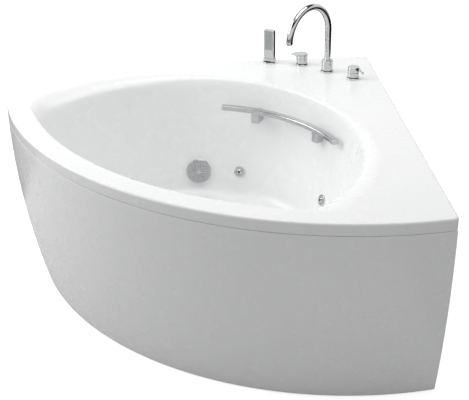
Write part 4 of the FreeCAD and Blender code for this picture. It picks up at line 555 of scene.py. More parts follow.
@dataclass(frozen=True)
class PowderCoat:
    """Powder-coated steel with orange peel."""

    base: Colour = (0.035, 0.037, 0.040, 1.0)

    def material(self) -> bpy.types.Material:
        """Build the material."""
        g = Graph("powder_coat")
        peel = g.noise(650.0, 2.0, 0.5)
        dust = g.noise(22.0, 5.0, 0.7).ramp(0.5, 0.85)
        return g.dress(Base_Color=g.blend(dust * 0.35, self.base, grey(0.20)),
                       Roughness=dust * 0.25 + 0.38, Normal=g.bump(peel, 0.00008))


@dataclass(frozen=True)
class CastAlloy:
    """Die-cast aluminium motor body with a sprayed satin coat."""

    base: Colour = (0.33, 0.35, 0.38, 1.0)

    def material(self) -> bpy.types.Material:
        """Build the material."""
        g = Graph("cast_alloy")
        pits = g.cells(520.0)
        cloud = g.noise(18.0, 4.0, 0.6)
        return g.dress(Base_Color=g.blend(cloud * 0.5, self.base, grey(0.22)), Metallic=0.45,
                       Roughness=cloud * 0.2 + 0.36, Normal=g.bump(pits + cloud, 0.0001))


@dataclass(frozen=True)
class Brass:
    """Machined brass, a little tarnished, with lathe marks."""

    base: Colour = (0.66, 0.50, 0.24, 1.0)
    dull: Colour = (0.40, 0.29, 0.13, 1.0)

    def material(self) -> bpy.types.Material:
        """Build the material."""
        g = Graph("machined_brass")
        lathe = g.noise(1.0, 1.0, 0.5, g.mapped((3.0, 3.0, 2600.0)))
        tarnish = g.noise(34.0, 5.0, 0.65).ramp(0.42, 0.78)
        return g.dress(Base_Color=g.blend(tarnish, self.base, self.dull), Metallic=1.0,
                       Roughness=tarnish * 0.25 + 0.22, Normal=g.bump(lathe, 0.00004))


@dataclass(frozen=True)
class Chipboard:
    """Chipboard sealed in thin resin, with flakes of wood."""

    light: Colour = (0.58, 0.44, 0.27, 1.0)
    dark: Colour = (0.33, 0.22, 0.12, 1.0)

    def material(self) -> bpy.types.Material:
        """Build the material."""
        g = Graph("chipboard")
        flake = g.part(g.cells(260.0, "Color", g.mapped((1.0, 0.45, 1.0), 30.0)), 1)
        grain = g.noise(1.0, 4.0, 0.7, g.mapped((900.0, 120.0, 900.0), 30.0))
        return g.dress(Base_Color=g.blend(flake * 0.6 + grain * 0.4, self.light, self.dark),
                       Roughness=flake * 0.2 + 0.5, Normal=g.bump(flake + grain, 0.00035))


class Finish(Enum):
    """The finishes of the tub's pieces."""

    ACRYLIC = Acrylic()
    GLASS_FIBRE = GlassFibre()
    CHROME = Chrome()
    ZINC = Plated()
    GALVANISED = Galvanised()
    BLACK_PLASTIC = Moulded("black_plastic", grey(0.022), grey(0.10), 0.42)
    WHITE_PLASTIC = Moulded("white_plastic", grey(0.74), tint(0.60, 0.60, 0.57), 0.36)
    GREY_PIPE = Moulded("grey_pipe", tint(0.50, 0.51, 0.52), grey(0.36), 0.33, 300.0, 0.00003)
    RUBBER = Moulded("black_rubber", grey(0.016), grey(0.06), 0.62, 700.0, 0.00008)
    SILICONE = Moulded("grey_silicone", tint(0.42, 0.43, 0.44), tint(0.30, 0.31, 0.32), 0.5, 1500.0,
                       0.00003)
    POWDER_COAT = PowderCoat()
    CAST_ALLOY = CastAlloy()
    BRASS = Brass()
    CHIPBOARD = Chipboard()


class Paints:
    """Makes each finish's material once."""

    def __init__(self) -> None:
        """Start with an empty shelf."""
        self.made: dict[Finish, bpy.types.Material] = {}

    def __getitem__(self, finish: Finish) -> bpy.types.Material:
        """The material of a finish."""
        if finish not in self.made:
            self.made[finish] = finish.value.material()
        return self.made[finish]


# ---------------------------------------------------------------- tub form
@dataclass(frozen=True)
class WallSlope:
    """How one stretch of the basin's wall comes in with depth.

    Args:
        run: Width of its rolled lip.
        drop: Depth of its rolled lip.
        tilt: Slope of the straight wall from upright, in degrees.
    """

    run: float
    drop: float
    tilt: float


@dataclass(frozen=True)
class TubForm:
    """Sizes of the tub's body, and rings of points on its surfaces.

    A ring is worked out at polar angles about `heart`, a point on the bisector:
    each ray from it meets the outline once.
    """

    rim_height: float = 0.710
    arc_setback: float = 0.193
    shell_wall: float = 0.0055
    band: float = 0.042
    edge_round: float = 0.008
    tip_round: float = 0.022
    corner_round: float = 0.012
    basin_back: float = 0.506
    front_rim: float = 0.077
    end_reach: float = 0.760
    end_round: float = 0.130
    end_growth: float = 0.15
    floor_level: float = 0.245
    floor_round: float = 0.060
    back: WallSlope = WallSlope(0.020, 0.020, 14.0)
    front: WallSlope = WallSlope(0.020, 0.020, 10.0)
    end: WallSlope = WallSlope(0.120, 0.050, 18.0)
    heart: float = 1.0

    @property
    def arc_x(self) -> float:
        """Centre of the front arc on the bisector."""
        return self.arc_setback * ROOT2

    @property
    def front_radius(self) -> float:
        """Radius of the front arc."""
        return CORNER.side - self.arc_setback

    @property
    def depth(self) -> float:
        """Depth of the basin."""
        return self.rim_height - self.floor_level

    def inset(self, depth: Array, slope: WallSlope) -> Array:
        """How far a wall has come in: quarter ellipse, straight slope, then an arc to the floor."""
        tilt = math.radians(slope.tilt)
        turn = math.atan2(slope.run, slope.drop * math.tan(tilt))
        lip_end = slope.drop * (1.0 - math.cos(turn))
        floor_start = self.depth - self.floor_round * (1.0 - math.sin(tilt))
        lip = slope.run * np.sqrt(np.clip(1.0 - (1.0 - depth / slope.drop) ** 2, 0.0, 1.0))
        wall = slope.run * math.sin(turn) + (depth - lip_end) * math.tan(tilt)
        foot = slope.run * math.sin(turn) + (floor_start - lip_end) * math.tan(tilt)
        drop = depth - self.depth + self.floor_round
        sagged = np.sqrt(np.clip(self.floor_round ** 2 - drop ** 2, 0.0, None))
        arc = foot + self.floor_round * math.cos(tilt) - sagged
        return np.where(depth <= lip_end, lip, np.where(depth <= floor_start, wall, arc))

    def lens(self, depth: Array, grow: Array) -> dict[str, Array]:
        """Centres and radii of the four tangent arcs of the basin's outline at a depth."""
        back = self.basin_back + self.inset(depth, self.back)
        front_r = self.front_radius - self.front_rim - self.inset(depth, self.front)
        back_r = self.end_reach - self.inset(depth, self.end)
        end_r = self.end_round + self.end_growth * depth
        back_x = back + back_r
        shift = back_x - self.arc_x
        end_x = self.arc_x + ((front_r - end_r) ** 2 - (back_r - end_r) ** 2 + shift ** 2) / (2.0 * shift)
        end_y = np.sqrt((front_r - end_r) ** 2 - (end_x - self.arc_x) ** 2)
        return {"back_x": back_x, "back_r": back_r + grow, "front_r": front_r + grow, "end_r": end_r + grow,
                "end_x": end_x, "end_y": end_y, "front_angle": np.arctan2(end_y, end_x - self.arc_x),
                "back_angle": np.arctan2(end_y, end_x - back_x)}

    def _ray(self, angle: Array, centre_x: Array, centre_y: Array, radius: Array) -> Array:
        """Distance from the heart to a circle along rays at angles between 0 and pi."""
        dx, dy = centre_x - self.heart, centre_y
        along = dx * np.cos(angle) + dy * np.sin(angle)
        return along + np.sqrt(np.clip(radius ** 2 - dx ** 2 - dy ** 2 + along ** 2, 0.0, None))

    def basin(self, angle: Array, depth: Array, grow: Array) -> Array:
        """Reach of the basin's outline from the heart; arguments broadcast together."""
        lens = self.lens(depth, grow)
        a = np.abs(angle)
        front_x = self.arc_x + lens["front_r"] * np.cos(lens["front_angle"])
        front_y = lens["front_r"] * np.sin(lens["front_angle"])
        back_x = lens["back_x"] + lens["back_r"] * np.cos(lens["back_angle"])
        back_y = lens["back_r"] * np.sin(lens["back_angle"])
        first = np.arctan2(front_y, front_x - self.heart)
        last = np.arctan2(back_y, back_x - self.heart)
        on_front = self._ray(a, self.arc_x, 0.0, lens["front_r"])
        on_end = self._ray(a, lens["end_x"], lens["end_y"], lens["end_r"])
        on_back = self._ray(a, lens["back_x"], 0.0, lens["back_r"])
        return np.where(a <= first, on_front, np.where(a <= last, on_end, on_back))

    def tip(self) -> tuple[float, float]:
        """Centre of the small arc at the right tip of the rim."""
        k = self.tip_round * ROOT2
        radius = self.front_radius - self.tip_round
        total = self.arc_x + k
        root = math.sqrt(total ** 2 - 2.0 * (self.arc_x ** 2 + k ** 2 - radius ** 2))
        x = (total + root) / 2.0
        return x, x - k

    def rim(self, angle: Array, inset: Array) -> Array:
        """Reach of the rim's outline, drawn in by an inset, from the heart."""
        a = np.abs(angle)
        tip_x, tip_y = self.tip()
        tip_r = self.tip_round - inset
        corner_r = self.corner_round - inset
        corner_x = self.corner_round * ROOT2
        to_tip = math.atan2(tip_y, tip_x - self.arc_x)
        first = np.arctan2(tip_y + tip_r * math.sin(to_tip), tip_x + tip_r * math.cos(to_tip) - self.heart)
        second = np.arctan2(tip_y + tip_r / ROOT2, tip_x - tip_r / ROOT2 - self.heart)
        third = np.arctan2(corner_r / ROOT2, corner_x - corner_r / ROOT2 - self.heart)
        on_front = self._ray(a, self.arc_x, 0.0, self.front_radius - inset)
        on_tip = self._ray(a, tip_x, tip_y, tip_r)
        on_wall = (self.heart - inset * ROOT2) / np.maximum(np.sin(a) - np.cos(a), 1e-6)
        on_corner = self._ray(a, corner_x, 0.0, corner_r)
        past_tip = np.where(a <= third, on_wall, on_corner)
        return np.where(a <= first, on_front, np.where(a <= second, on_tip, past_tip))

    def angles(self, count: int = 520) -> Array:
        """Polar angles for the rings, closer together at the tips and in the corner."""
        tip_x, tip_y = self.tip()
        near = math.atan2(tip_y, tip_x - self.heart)
        at_tip = near + np.linspace(-0.035, 0.035, 29)
        at_corner = math.pi - np.linspace(0.0, 0.02, 9)[:-1]
        plain = np.linspace(-math.pi, math.pi, count, endpoint=False)
        return np.unique(np.round(np.concatenate([plain, at_tip, -at_tip, at_corner, 1e-4 - at_corner]), 7))

    def ring(self, angle: Array, reach: Array, level: Array) -> Array:
        """Points at a reach along rays from the heart, at a level."""
        return circles(reach, angle, level) + np.array([self.heart, 0.0, 0.0])


FORM = TubForm()


@dataclass(frozen=True)
class Seat:
    """A flat seat for a fitting on the basin's wall.

    Args:
        angle: Degrees about the wall arc's centre, 0 on the bisector, positive to the right.
        level: Height above the floor.
        flange: Radius of the fitting's flange.
        front: Whether it is on the front wall.
        margin: Seat beyond the flange.
        proud: Front of the seat past the curved wall, beyond the arc's own sagitta.
        back: Wall surface to the seat's back.
    """

    angle: float
    level: float
    flange: float
    front: bool = False
    margin: float = 0.004
    proud: float = 0.0004
    back: float = 0.0095

    def _wall(self) -> tuple[Array, Array, float, float]:
        """Point on the wall, direction outwards, slope angle and radius."""
        turn = math.radians(self.angle)
        lens = FORM.lens(np.array(FORM.rim_height - self.level), 0.0)
        if self.front:
            radius = float(lens["front_r"])
            out = np.array([math.cos(turn), math.sin(turn), 0.0])
            centre = np.array([FORM.arc_x, 0.0, self.level])
            return centre, out, math.radians(FORM.front.tilt), radius
        radius = float(lens["back_r"])
        out = np.array([-math.cos(turn), math.sin(turn), 0.0])
        centre = np.array([float(lens["back_x"]), 0.0, self.level])
        share = math.cos(turn)
        back, end = (math.tan(math.radians(slope.tilt)) for slope in (FORM.back, FORM.end))
        return centre, out, math.atan(back * share + end * (1.0 - share)), radius

    @property
    def rise(self) -> float:
        """Front of the seat above the wall's surface, on its axis."""
        radius = self._wall()[3]
        return (self.flange + self.margin) ** 2 / (2.0 * radius) + self.proud

    @property
    def grip(self) -> float:
        """Front of the seat to its back."""
        return self.rise + self.back

    def placing(self) -> Placing:
        """Local frame at the seat's front, local Z into the basin."""
        centre, out, tilt, radius = self._wall()
        normal = np.array([-out[0] * math.cos(tilt), -out[1] * math.cos(tilt), math.sin(tilt)])
        return Placing.along(centre + out * radius + normal * self.rise, normal)


class Seats:
    """Where the wall fittings sit."""

    FLANGE = 0.022
    SIDE_RISE = 0.100
    JET_SHARE = 0.74
    OVERFLOW_SET = 0.050
    HALF_SPAN = math.degrees(float(FORM.lens(np.array(FORM.depth - SIDE_RISE), 0.0)["front_angle"]))
    SIDE_JET = JET_SHARE * HALF_SPAN
    SIDE_LEVEL = FORM.floor_level + SIDE_RISE
    JETS = (Seat(-19.0, 0.344, FLANGE), Seat(30.1, 0.372, FLANGE),
            Seat(-SIDE_JET, SIDE_LEVEL, FLANGE, True), Seat(SIDE_JET, SIDE_LEVEL, FLANGE, True))
    SUCTION = Seat(-37.7, 0.3323, 0.050)
    OVERFLOW = Seat(math.degrees(math.asin(OVERFLOW_SET / (FORM.front_radius - FORM.front_rim))), 0.650,
                    0.033, True)
    BUTTON = Seat(-5.0, 0.655, 0.020, True)


@dataclass(frozen=True)
class DeckPlaces:
    """Where the deck fittings stand."""

    back: float = 0.2615
    side: float = -0.021
    pitch: float = 0.1305
    shower_back: float = 0.326
    shower_side: float = -0.274

    def all(self) -> dict[str, tuple[float, float]]:
        """Name to place."""
        return {"spout": (self.back, self.side),
                "mixer": (self.back, self.side - self.pitch),
                "diverter": (self.back, self.side + self.pitch),
                "shower": (self.shower_back, self.shower_side)}

    def placing(self, name: str, turn: float = 0.0) -> Placing:
        """Frame on the deck at a named fitting, turned by degrees."""
        return Placing.upright(*self.all()[name], FORM.rim_height, turn)


DECK = DeckPlaces()


# ---------------------------------------------------------------- tub shell
@dataclass
class TubShell:
    """Moulded shell: deck, band, basin and its glass-fibre back."""

    paints: Paints
    waste: tuple[float, float] = (1.180, 0.050)
    waste_hole: float = 0.027
    tap_hole: float = 0.0165
    bore_clear: float = 0.0004
    band_foot_round: float = 0.0015
    lump: float = 0.0009
    jet_bore: float = 0.019
    suction_bore: float = 0.041
    overflow_bore: float = 0.0236
    button_bore: float = 0.014
    bore_back: float = 0.050
    bore_front: float = 0.030
    hole_half: float = 0.020

    def depths(self) -> Array:
        """Depths of the rings from the floor up to the deck, close where the wall bends."""
        turn = np.linspace(math.pi / 2.0, 0.0, 15)
        foot = FORM.depth - FORM.floor_round * (1.0 - np.sin(turn))
        lip_turn = np.radians(np.linspace(0.0, 74.0, 13))
        lip = FORM.back.drop * (1.0 - np.cos(lip_turn))
        shoulder = np.linspace(lip[-1], 0.062, 8)[1:]
        wall = np.linspace(shoulder[-1], foot[-1], 16)[1:-1]
        return np.concatenate([foot, wall[::-1], shoulder[::-1], lip[::-1]])

    def surface(self) -> tuple[Array, int]:
        """The whole skin as one grid of rings, from the middle of the floor round to its underside.

        Returns:
            The grid, and the number of rings that are polished acrylic.
        """
        angle = FORM.angles()[None, :]
        depth = self.depths()[:, None]
        wall = FORM.shell_wall
        share = np.array([0.0, 0.08, 0.2, 0.4, 0.6, 0.8, 0.93])[:, None]
        floor_reach = FORM.basin(angle, FORM.depth, 0.0)
        rings = [FORM.ring(angle, floor_reach * share, FORM.floor_level),
                 FORM.ring(angle, FORM.basin(angle, depth, 0.0), FORM.rim_height - depth)]
        lip = FORM.basin(angle, 0.0, 0.0)
        edge = FORM.rim(angle, FORM.edge_round)
        share = np.array([0.03, 0.08, 0.16, 0.28, 0.42, 0.58, 0.72, 0.84, 0.93, 0.98])[:, None]
        rings.append(FORM.ring(angle, lip + (edge - lip) * share, FORM.rim_height))
        turn = np.linspace(0.0, math.pi / 2.0, 9)[:, None]
        rings.append(FORM.ring(angle, FORM.rim(angle, FORM.edge_round * (1.0 - np.sin(turn))),
                               FORM.rim_height - FORM.edge_round * (1.0 - np.cos(turn))))
        foot = FORM.rim_height - FORM.band
        level = np.linspace(FORM.rim_height - FORM.edge_round, foot + self.band_foot_round, 4)[1:, None]
        rings.append(FORM.ring(angle, FORM.rim(angle, 0.0), level))
        turn = np.linspace(0.0, math.pi / 2.0, 5)[1:, None]
        small = self.band_foot_round
        reach = FORM.rim(angle, small * (1.0 - np.cos(turn)))
        rings.append(FORM.ring(angle, reach, foot + small * (1.0 - np.sin(turn))))
        polished = sum(len(r) for r in rings)
        under = FORM.rim_height - wall
        level = np.array([foot, foot + 0.012, under - 0.004, under])[:, None]
        rings.append(FORM.ring(angle, FORM.rim(angle, wall), level))
        outer = FORM.basin(angle, 0.0, wall)
        share = np.array([0.03, 0.2, 0.4, 0.6, 0.8, 0.96])[:, None]
        edge = FORM.rim(angle, wall)
        rings.append(FORM.ring(angle, edge + (outer - edge) * share, under))
        rings.append(FORM.ring(angle, FORM.basin(angle, depth[::-1], wall), under - depth[::-1]))
        share = np.array([0.93, 0.8, 0.6, 0.4, 0.2, 0.08, 0.0])[:, None]
        rings.append(FORM.ring(angle, FORM.basin(angle, FORM.depth, wall) * share, FORM.floor_level - wall))
        return np.concatenate(rings), polished

    def cutters(self) -> bpy.types.Object:
        """Rods where the shell is bored."""
        form = Form()

        def bore(placing: Placing, radius: float, low: float, high: float) -> None:
            """Add one closed rod."""
            profile = np.array([[0.0, low], [radius, low], [radius, high], [0.0, high]])
            form.grid(placing.put(turned(profile, 48)))

        for seat, radius in self.bores():
            bore(seat.placing(), radius + self.bore_clear, -self.bore_back, self.bore_front)
        bore(Placing.upright(*self.waste, FORM.floor_level), self.waste_hole, -self.hole_half, self.hole_half)
        for name in DECK.all():
            bore(DECK.placing(name), self.tap_hole, -self.hole_half, self.hole_half)
        return form.build("cutters", [self.paints[Finish.ACRYLIC]])

    def bores(self) -> list[tuple[Seat, float]]:
        """Every wall seat with the radius of its bore."""
        jets = [(seat, self.jet_bore) for seat in Seats.JETS]
        return jets + [(Seats.SUCTION, self.suction_bore), (Seats.OVERFLOW, self.overflow_bore),
                       (Seats.BUTTON, self.button_bore)]

    def seats(self) -> bpy.types.Object:
        """Flat bosses with rounded edges under the wall fittings."""
        form = Form()
        for seat, bore in self.bores():
            outer = seat.flange + seat.margin
            inner = bore + self.bore_clear
            corners = [(inner, -seat.grip), (outer, -seat.grip), (outer, 0.0), (inner, 0.0)]
            profile = rounded(corners, [0.0, 0.002, 0.0022, 0.0])
            form.grid(seat.placing().put(turned(profile, 96)), loop=True)
        return form.build("wall_seats", [self.paints[Finish.ACRYLIC]])

    def build(self) -> list[bpy.types.Object]:
        """Make the shell and its seats.

        The sprayed back is rough: its radius grows by a product of two sine waves
        that run slantwise round it.
        """
        points, polished = self.surface()
        angle = np.arctan2(points[polished:, :, 1], points[polished:, :, 0] - FORM.heart)
        level = points[polished:, :, 2]
        ripple = np.sin(37.0 * angle + 19.0 * level) * np.sin(23.0 * angle - 61.0 * level)
        inner = level < FORM.rim_height - FORM.band - 0.01
        points[polished:] += circles(np.where(inner, self.lump * ripple, 0.0), angle, 0.0)
        form = Form()
        form.grid(points[:polished + 1], slot=0)
        form.grid(points[polished:], slot=1)
        shell = form.build("tub_shell_skin", [self.paints[Finish.ACRYLIC], self.paints[Finish.GLASS_FIBRE]])
        drill(shell, self.cutters())
        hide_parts("tub_shell")
        pieces = [shell, self.seats()]
        for piece in pieces:
            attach(piece, "root")
        return pieces


# ---------------------------------------------------------------- front panel
@dataclass
class FrontPanel:
    """Curved apron, an arc in plan and an arc in profile."""

    paints: Paints
    wall: float = 0.004
    tuck: float = 0.085
    seam: float = 0.002
    flush: float = 0.0005
    end_gap: float = 0.003
    foot_gap: float = 0.004
    returns: float = 0.030
    edge: float = 0.0022

    def profile(self) -> Array:
        """Closed profile of (radius, height): the face is an arc tangent to upright at its top."""
        top = FORM.rim_height - FORM.band - self.seam
        radius = FORM.front_radius - self.flush
        sweep = (top ** 2 + self.tuck ** 2) / (2.0 * self.tuck)

        def face(level: Array, behind: float) -> Array:
            """Radius of the face, or of a surface behind it."""
            return radius - sweep + np.sqrt((sweep - behind) ** 2 - (top - level) ** 2)

        up = np.linspace(self.foot_gap, top, 40)
        outer = np.stack([face(up, 0.0), up], axis=-1)
        down = np.linspace(top - self.wall, self.foot_gap + self.wall, 40)
        inner = np.stack([face(down, self.wall), down], axis=-1)
        head_in, foot_in = outer[[-1, 0], 0] - self.returns
        head = [(head_in, top), (head_in, top - self.wall)]
        foot = [(foot_in, self.foot_gap + self.wall), (foot_in, self.foot_gap)]
        corners = np.concatenate([outer, head, inner, foot])
        radii = np.zeros(len(corners))
        radii[[0, len(outer) - 1]] = self.edge
        return rounded(corners, radii, 5)

    def build(self) -> bpy.types.Object:
        """Sweep the profile round the front arc, trimmed parallel to the two walls."""
        profile = self.profile()
        k = self.end_gap * ROOT2
        reach = math.pi / 4.0 + np.arcsin((FORM.arc_x - k) / (profile[:, 0] * ROOT2))
        share = np.concatenate([[-1.0, -0.9985], np.linspace(-0.99, 0.99, 181), [0.9985, 1.0]])
        angle = share[:, None] * reach[None, :]
        points = circles(profile[None, :, 0], angle, profile[None, :, 1]) + np.array([FORM.arc_x, 0.0, 0.0])
        form = Form().grid(points)
        piece = form.build("front_panel_skin", [self.paints[Finish.ACRYLIC]])
        cap_ends(piece)
        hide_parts("front_panel")
        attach(piece, "front_panel")
        return piece


def cap_ends(piece: bpy.types.Object) -> None:
    """Fill the open loops of a swept piece with flat faces."""
    work = bmesh.new()
    work.from_mesh(piece.data)
    loose = [edge for edge in work.edges if edge.is_boundary]
    bmesh.ops.holes_fill(work, edges=loose, sides=0)
    bmesh.ops.recalc_face_normals(work, faces=work.faces)
    work.to_mesh(piece.data)
    work.free()
    smooth(piece.data)


# ---------------------------------------------------------------- fittings
SLOTS = {Finish.CHROME: "chrome", Finish.ZINC: "steel", Finish.BLACK_PLASTIC: "black_plastic"}


class Assembly:
    """Shared work of the sub-assemblies: build a piece and hand it to its body."""

    def __init__(self, paints: Paints) -> None:
        """Keep the shelf of materials."""
        self.paints = paints
        self.pieces: list[bpy.types.Object] = []

    def place(self, form: Form, name: str, instead: str, body: str = "root",
              finish: Finish = Finish.CHROME, sharp: float = 45.0) -> None:
        """Build a form, dress it and let it ride.

        Args:
            form: The finished grids.
            name: Name of the piece.
            instead: Frame node whose place it takes.
            body: Body that carries it.
            finish: Finish of the whole piece.
            sharp: Edges that turn by more degrees than this stay sharp.
        """
        piece = form.build(name, [self.paints[finish]], sharp)
        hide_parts(instead)
        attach(piece, body)
        SLOTS[finish]
        self.pieces.append(piece)


@dataclass(frozen=True)
class RailSizes:
    """Sizes of the grab rail."""

    drop: float = 0.090
    stand_off: float = 0.0474
    centre_x: float = 0.0023
    centre_y: float = 0.0393
    width: float = 0.028
    height: float = 0.019
    edge: float = 0.0042
    start: float = -29.4
    end: float = 28.4


class GrabRail(Assembly):
    """Arched bar along the back wall, rounded along every edge."""

    sizes = RailSizes()

    def build(self) -> None:
        """Carry the rounded section along the arc and draw it in at both ends."""
        size = self.sizes
        lens = FORM.lens(np.array(size.drop), 0.0)
        radius = float(lens["back_r"]) - size.stand_off
        centre = np.array([float(lens["back_x"]) + size.centre_x, size.centre_y, FORM.rim_height - size.drop])
        turn = np.linspace(0.0, math.pi / 2.0, 7)
        inset = size.edge * (1.0 - np.sin(turn))
        set_back = np.degrees(size.edge * (1.0 - np.cos(turn)) / radius)
        run = np.linspace(size.start + set_back[-1], size.end - set_back[-1], 90)[1:-1]
        angle = np.radians(np.concatenate([size.start + set_back, run, (size.end - set_back)[::-1]]))
        drawn = np.concatenate([inset, np.zeros(len(run)), inset[::-1]])
        half = np.array([size.width, size.height]) / 2.0
        path = centre + radius * np.stack([-np.cos(angle), np.sin(angle), np.zeros(len(angle))], axis=-1)
        corners = half * np.array([(-1.0, -1.0), (1.0, -1.0), (1.0, 1.0), (-1.0, 1.0)])
        rows = carried(path, rounded(corners, size.edge, 7), 1.0 - drawn[:, None] / half)
        self.place(Form().grid(with_caps(rows)), "grab_bar_skin", "grab_bar")


@dataclass(frozen=True)
class TapSizes:
    """Sizes shared by the fittings on the deck."""

    rose: float = 0.027
    rose_thick: float = 0.006
    groove: float = 0.003
    body: float = 0.023
    body_top: float = 0.050
    edge: float = 0.0012
    shank: float = 0.016
    socket: float = 0.008
    stem: float = 0.0096
    clear: float = 0.00006
    gap: float = 0.0004
    lower_top: float = 0.028
    neck: float = 0.012

    @property
    def foot(self) -> float:
        """Start of a body above the deck."""
        return self.rose_thick + self.groove


TAP = TapSizes()


class DeckRoses(Assembly):
    """Four round roses under the deck fittings."""

    def build(self) -> None:
        """Turn one rose at each place."""
        top = TAP.rose_thick
        corners = [(TAP.shank, 0.0), (TAP.rose, 0.0), (TAP.rose, top), (TAP.shank, top)]
        profile = rounded(corners, [0.0, 0.0004, 0.0025, 0.0006], 8)
        form = Form()
        for name in DECK.all():
            form.grid(DECK.placing(name).put(turned(profile, 96)), loop=True)
        self.place(form, "deck_rose_skins", "deck_roses")


@dataclass(frozen=True)
class SpoutSizes:
    """Sizes of the swan-neck spout."""

    stem: float = 0.038
    collar: float = 0.014
    collar_height: float = 0.006
    radius: float = 0.0125
    bore: float = 0.0105
    rise: float = 0.176
    bend: float = 0.122
    turn: float = -2.5
    lip: float = 0.0008
    well: float = 0.0135


class Filler(Assembly):
    """Body and swan-neck spout."""

    sizes = SpoutSizes()

    def body(self) -> None:
        """Turned body with the bore for the spout's stem."""
        bore = TAP.stem + TAP.clear
        low = TAP.foot + TAP.socket
        corners = [(TAP.shank, TAP.foot), (TAP.body, TAP.foot), (TAP.body, TAP.body_top),
                   (bore, TAP.body_top), (bore, low), (TAP.shank, low)]
        profile = rounded(corners, [0.0, 0.0005, TAP.edge, 0.0003, 0.0, 0.0], 6)
        form = Form().grid(DECK.placing("spout").put(turned(profile, 96)), loop=True)
        self.place(form, "spout_body_skin", "spout_base")

    def spout(self) -> None:
        """Stem, collar, neck and open end as one run of circles.

        The bend is an arc about a point at its radius from the stem; each circle
        stands square to it. After the end the circles turn back into the bore.
        """
        size = self.sizes
        base = TAP.body_top + TAP.gap
        collar = base + size.collar_height
        low = TAP.body_top - size.stem
        corners = [(0.0, low), (TAP.stem, low), (TAP.stem, base), (size.collar, base), (size.collar, collar),
                   (size.radius, collar)]
        foot = rounded(corners, [0.0, 0.0004, 0.0, 0.0003, TAP.edge, 0.0], 6, closed=False)
        level = np.concatenate([foot[:, 1], np.linspace(collar, size.rise, 14)[1:]])
        radius = np.concatenate([foot[:, 0], np.full(13, size.radius)])
        turn = np.linspace(0.0, math.pi, 97)[1:-1]
        around = np.linspace(0.0, math.pi, 9)
        middle = (size.radius + size.bore) / 2.0
        wall = (size.radius - size.bore) / 2.0
        end_r = np.concatenate([middle + wall * np.cos(around), [size.bore, 0.0]])
        end_z = size.rise + np.concatenate([size.lip * (1.0 - np.sin(around)), [size.well, size.well]])
        arc = size.bend * (1.0 - np.cos(turn))
        centre_x = np.concatenate([0.0 * level, arc, 0.0 * end_z + 2.0 * size.bend])
        centre_z = np.concatenate([level, size.rise + size.bend * np.sin(turn), end_z])
        centre = np.stack([centre_x, 0.0 * centre_x, centre_z], axis=-1)
        radii = np.concatenate([radius, np.full(len(turn), size.radius), end_r])
        tilt = np.concatenate([np.zeros(len(level)), turn, np.full(len(end_z), math.pi)])
        phase = np.linspace(0.0, TURN, 64, endpoint=False)
        first = np.stack([np.cos(tilt), 0.0 * tilt, -np.sin(tilt)], axis=-1)
        side = np.array([0.0, 1.0, 0.0])
        circle = first[:, None] * np.cos(phase)[None, :, None] + side * np.sin(phase)[None, :, None]
        rows = centre[:, None] + radii[:, None, None] * circle
        form = Form().grid(DECK.placing("spout", size.turn).put(rows))
        self.place(form, "spout_skin", "spout", "spout", sharp=40.0)

    def build(self) -> None:
        """Make both pieces."""
        self.body()
        self.spout()


@dataclass(frozen=True)
class LeverSizes:
    """Sizes of the mixer's lever and the diverter's side pin."""

    thick: float = 0.005
    lift_gap: float = 0.0008
    chamfer: float = 0.0003
    reach: float = 0.043
    root: float = 0.026
    tip: float = 0.014
    tip_round: float = 0.004
    heading: float = -45.0
    pin_heading: float = 118.0
    pin_level: float = 0.038
    pin: float = 0.0026
    pin_length: float = 0.017
    pin_dip: float = 42.0
    pin_tip: float = 0.0046
    pin_tip_length: float = 0.007
    boss: float = 0.012
    boss_proud: float = 0.0035
    boss_root: float = 0.005
    boss_edge: float = 0.0006


